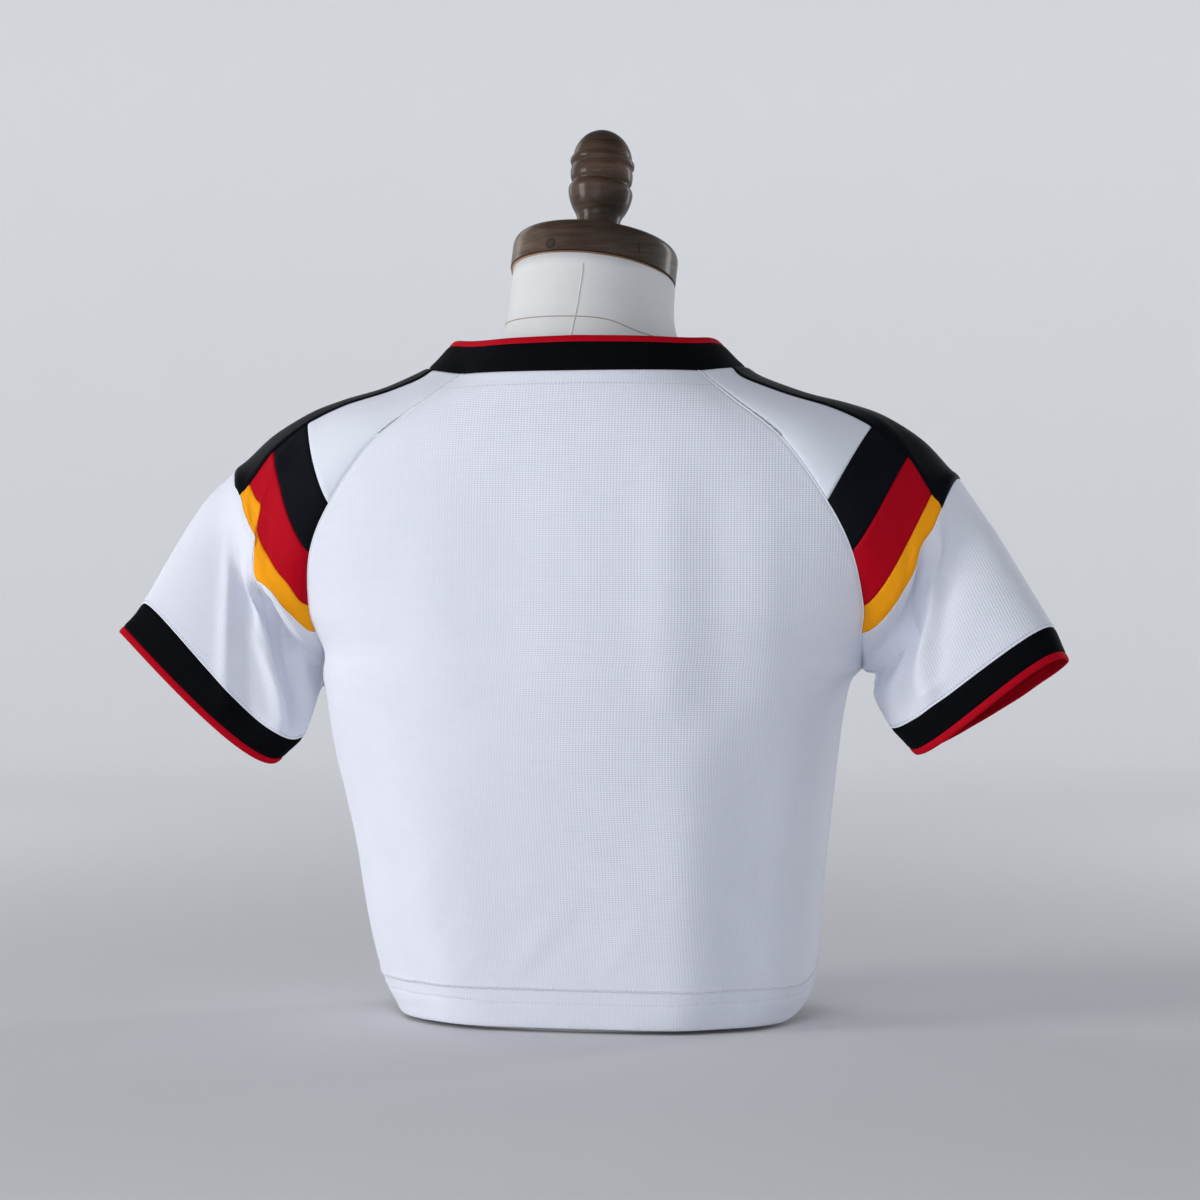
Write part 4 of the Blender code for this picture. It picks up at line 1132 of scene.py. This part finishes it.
sewing = {}
for name in PANELS:
    front = name == "front"
    tree = search_tree(shells[name])
    high, low = (outward(low_row(front, height / (ARMPIT_Z - HEM_BACK)), 3)
                 for height in (HEM_TURN - 0.4, HEM_TURN - HEM_CHANNEL))
    neck = [p + Vector((0, 2.5 if front else -2.5, 1)) for p in high_row(0.56, front)[2:-2]]
    sewing[name] = [
        stitches("hem_stitches_high_" + name, high, tree, 1.5, 2.3, 0.38, "white", turn=90, zigzag=28),
        stitches("hem_stitches_low_" + name, low, tree, 2.6, 2.0, 0.36, "white", zigzag=22),
        stitches("neck_stitches_" + name, neck, tree, 2.8, 2.2, 0.26, "grey"),
    ]
for name, rows in (("back", back_rows), ("front", front_rows)):
    for tag, end, beside in (("r", -1, -2), ("l", 0, 1)):
        line, inner_line = ([row[column] for row in rows[len(LOW):]] for column in (end, beside))
        edge = lip("raglan_edge_%s_%s" % (name, tag), line, inner_line, normals_at("torso", line), 0.5)
        sewing[name].append(edge)
for side, tag in SIDES:
    low = "sleeve_low_" + tag
    row, edge, seam = sleeve(side, 9 - EDGE_STEP), sleeve(side, 9)[:-1], strayed_rows[tag][6.0]
    line = [p + n * 2.5 for p, n in zip(row, normals_at(tag, row))]
    sewing[low] = [
        stitches("cuff_stitches_" + tag, line, search_tree(shells[low]), 2.6, 2.0, 0.26, "grey"),
        lip("cuff_edge_" + tag, edge, sleeve(side, 8.8)[:-1], normals_at(tag, edge), 0.55, True),
        lip("band_edge_" + tag, seam, strayed_rows[tag][6 + EDGE_STEP], normals_at(tag, seam), 0.45),
    ]


def rests_on(name, kind):
    if kind in ("sleeve_low", "collar"):
        return ["back_cloth", "front_cloth"]
    under = {"cuff": "sleeve_low", "shoulder": "sleeve_top"}.get(kind)
    return ["%s_%s_cloth" % (under, name[-1])] if under else ["form_cover"]


sleeve_kinds = [kind for kind, _, _ in SPLITS] + ["shoulder"]
for name in [*PANELS, *(kind + "_" + tag for _, tag in SIDES for kind in sleeve_kinds), "collar"]:
    obj, kind = shells[name], kind_of(name)
    with_pieces = [tips[name]] if name in tips else sewing.get(name, ())
    wear(obj, name)
    rests_on(name, kind)


# ---------------------------------------------------------------- dress form
def form_point(a, z):
    """Point of the form at angle a in radians; -90 degrees is the centre back."""
    half, deep_b, deep_f, off, n = (blend(FORM, z, c) for c in (1, 2, 3, 4, 5))
    lean = NECK_LEAN * (ease(400, 475, z) - 0.5 * ease(490, 530, z))
    d = deep_f if math.sin(a) > 0 else deep_b
    return Vector((half * power(math.cos(a), 2 / n) + lean, SIDE_Y + off + d * power(math.sin(a), 2 / n), z))


def cut_below_cap(p):
    """The neck's top is led up or down to the tilted underside of the cap."""
    if p.z <= NECK_CUT:
        return p
    base = CAP_MID - NECK_TILT * (CAP_H / 2 - 0.2)
    end = p.z - (p - base).dot(NECK_TILT) / NECK_TILT.z
    return Vector((p.x, p.y, NECK_CUT + (p.z - NECK_CUT) * (end - NECK_CUT) / (FORM_TOP - NECK_CUT)))


def seam_cord(name, line, radius, mat, closed=False):
    """Sewn line lying on the form's cover."""
    hits = [form_tree.find_nearest(p)[:2] for p in line]
    centres = [hit + normal * (radius * 0.25) for hit, normal in hits]
    obj = cord(name, line, centres, [normal for _, normal in hits], radius, THREAD[mat], closed)
    return wear(obj)


def turned(name, foot, profile, mat, cols, tilt):
    """Solid turned round the neck's tilted axis: height over the foot and radius."""
    return solid(name, [circle(foot + tilt * h, axis_x * r, axis_y * r, cols) for h, r in profile], mat)


def smooth_profile(points, parts):
    """Profile with a smooth curve through its points."""
    table = [(i, h, r) for i, (h, r) in enumerate(points)]
    keys = [k / parts for k in range((len(points) - 1) * parts + 1)]
    return [(blend(table, key, 1), blend(table, key, 2)) for key in keys]


form_rows = []
for z in [BASE, BASE + 0.6, BASE + 2] + [10 + (FORM_TOP - 10) * k / FORM_ROWS for k in range(FORM_ROWS + 1)]:
    pull = 1 - 0.012 * (1 - ease(BASE, BASE + 2.5, z))
    row = [form_point(2 * math.pi * (k + 0.5) / FORM_COLS, z) for k in range(FORM_COLS)]
    form_rows.append([cut_below_cap(Vector((p.x * pull, p.y * pull, p.z))) for p in row])
form = wear(solid("form_cover", form_rows, FABRIC["linen"]), "form_body")
form_tree = search_tree(form)

neck_seam = []
for k in range(96):
    a = 2 * math.pi * k / 96
    neck_seam.append(form_point(a, blend(NECK_SEAM, (math.degrees(a) + 180) % 360 - 180, 1)))
seam_cord("form_neck_seam", neck_seam, 0.4, "tan", True)
for name, a in (("back", -math.pi / 2 - 0.03), ("front", math.pi / 2)):
    line = [form_point(a + 0.085 * ease(478, FORM_TOP, z), z) for z in range(7, FORM_TOP - 3, 4)]
    seam_cord("form_seam_" + name, [cut_below_cap(p) for p in line], 0.45, "cream")
for name, a in (("right", 0.0), ("left", math.pi)):
    seam_cord("form_seam_" + name, [form_point(a, z) for z in range(7, 440, 6)], 0.4, "cream")

axis_x = (Vector((1, 0, 0)) - NECK_TILT * NECK_TILT.x).normalized()
axis_y = NECK_TILT.cross(axis_x)
foot = CAP_MID - NECK_TILT * (CAP_H / 2)
cap_profile = smooth_profile([(h, CAP_R - inset) for h, inset in CAP_PROFILE], 3)
wear(turned("form_cap_wood", foot, cap_profile, WOOD_CAP, 128, NECK_TILT), "form_cap")
edge_profile = [(h, CAP_R - inset) for h, inset in EDGE_PROFILE]
wear(turned("form_cap_edge", foot, edge_profile, WOOD_EDGE, 128, NECK_TILT))
knob_foot = foot + NECK_TILT * (CAP_H + 0.2)
knob = turned("form_finial_wood", knob_foot, smooth_profile(FINIAL, 4), WOOD_KNOB, 96, KNOB_TILT)
wear(knob, "form_finial")


# ---------------------------------------------------------------- stage, light and camera
def stage_floor():
    """Pale round floor that turns up smoothly far behind the object, all the way round."""
    n = Nodes("floor_paper", 0.95, specular=0.05)
    n.feed(Emission_Color=(0.96, 0.98, 1.0, 1),
           Emission_Strength=n.fade((0, 0, 0), 1.0, 0.0, GLOW_REACH, To_Max=FLOOR_GLOW))
    mat = n.colour(n.noise(3.0, 2.0), (0.70, 0.71, 0.73), (0.69, 0.70, 0.72))
    profile = [(1.0, 0.0), (600.0, 0.0), (FLOOR_R, 0.0)]
    for a in (math.pi / 2 * k / 12 for k in range(1, 13)):
        profile.append((FLOOR_R + FLOOR_BEND * math.sin(a), FLOOR_BEND * (1 - math.cos(a))))
    profile.append((FLOOR_R + FLOOR_BEND, FLOOR_BEND + FLOOR_WALL))
    rows = []
    for r, z in profile:
        rows.append(circle(Vector((0, 0, BASE + z - 0.05)), Vector((r, 0, 0)), Vector((0, r, 0)), 96))
    sweep("floor", rows, mat, caps=1)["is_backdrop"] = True


def area_light(name, at, size, energy, colour):
    lamp = bpy.data.lights.new(name, "AREA")
    lamp.shape, lamp.size, lamp.size_y = "RECTANGLE", size[0], size[1]
    lamp.energy, lamp.color = energy, colour
    obj = bpy.data.objects.new(name, lamp)
    obj.location = at
    obj.rotation_euler = (Vector(at) - Vector(AIM)).to_track_quat("Z", "Y").to_euler()
    bpy.context.scene.collection.objects.link(obj)


stage_floor()
for light in LIGHTS:
    area_light(*light)

world = bpy.data.worlds.new("studio")
world.use_nodes = True
background = world.node_tree.nodes["Background"]
background.inputs["Color"].default_value = (0.81, 0.82, 0.91, 1)
background.inputs["Strength"].default_value = 0.20
bpy.context.scene.world = world
bpy.context.scene.view_settings.view_transform = "Standard"

lens = bpy.data.cameras.new("camera")
lens.sensor_width = SENSOR
lens.lens = LENS_PX / FRAME_PX * SENSOR
lens.shift_x = (FRAME_PX / 2 - MIDDLE_PX) / FRAME_PX
camera = bpy.data.objects.new("camera", lens)
camera.location = (CAMERA_AWAY * math.sin(CAMERA_TURN), -CAMERA_AWAY * math.cos(CAMERA_TURN), CAMERA_UP)
camera.rotation_euler = (math.pi / 2, 0, CAMERA_TURN)
bpy.context.scene.collection.objects.link(camera)
bpy.context.scene.camera = camera

low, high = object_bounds()
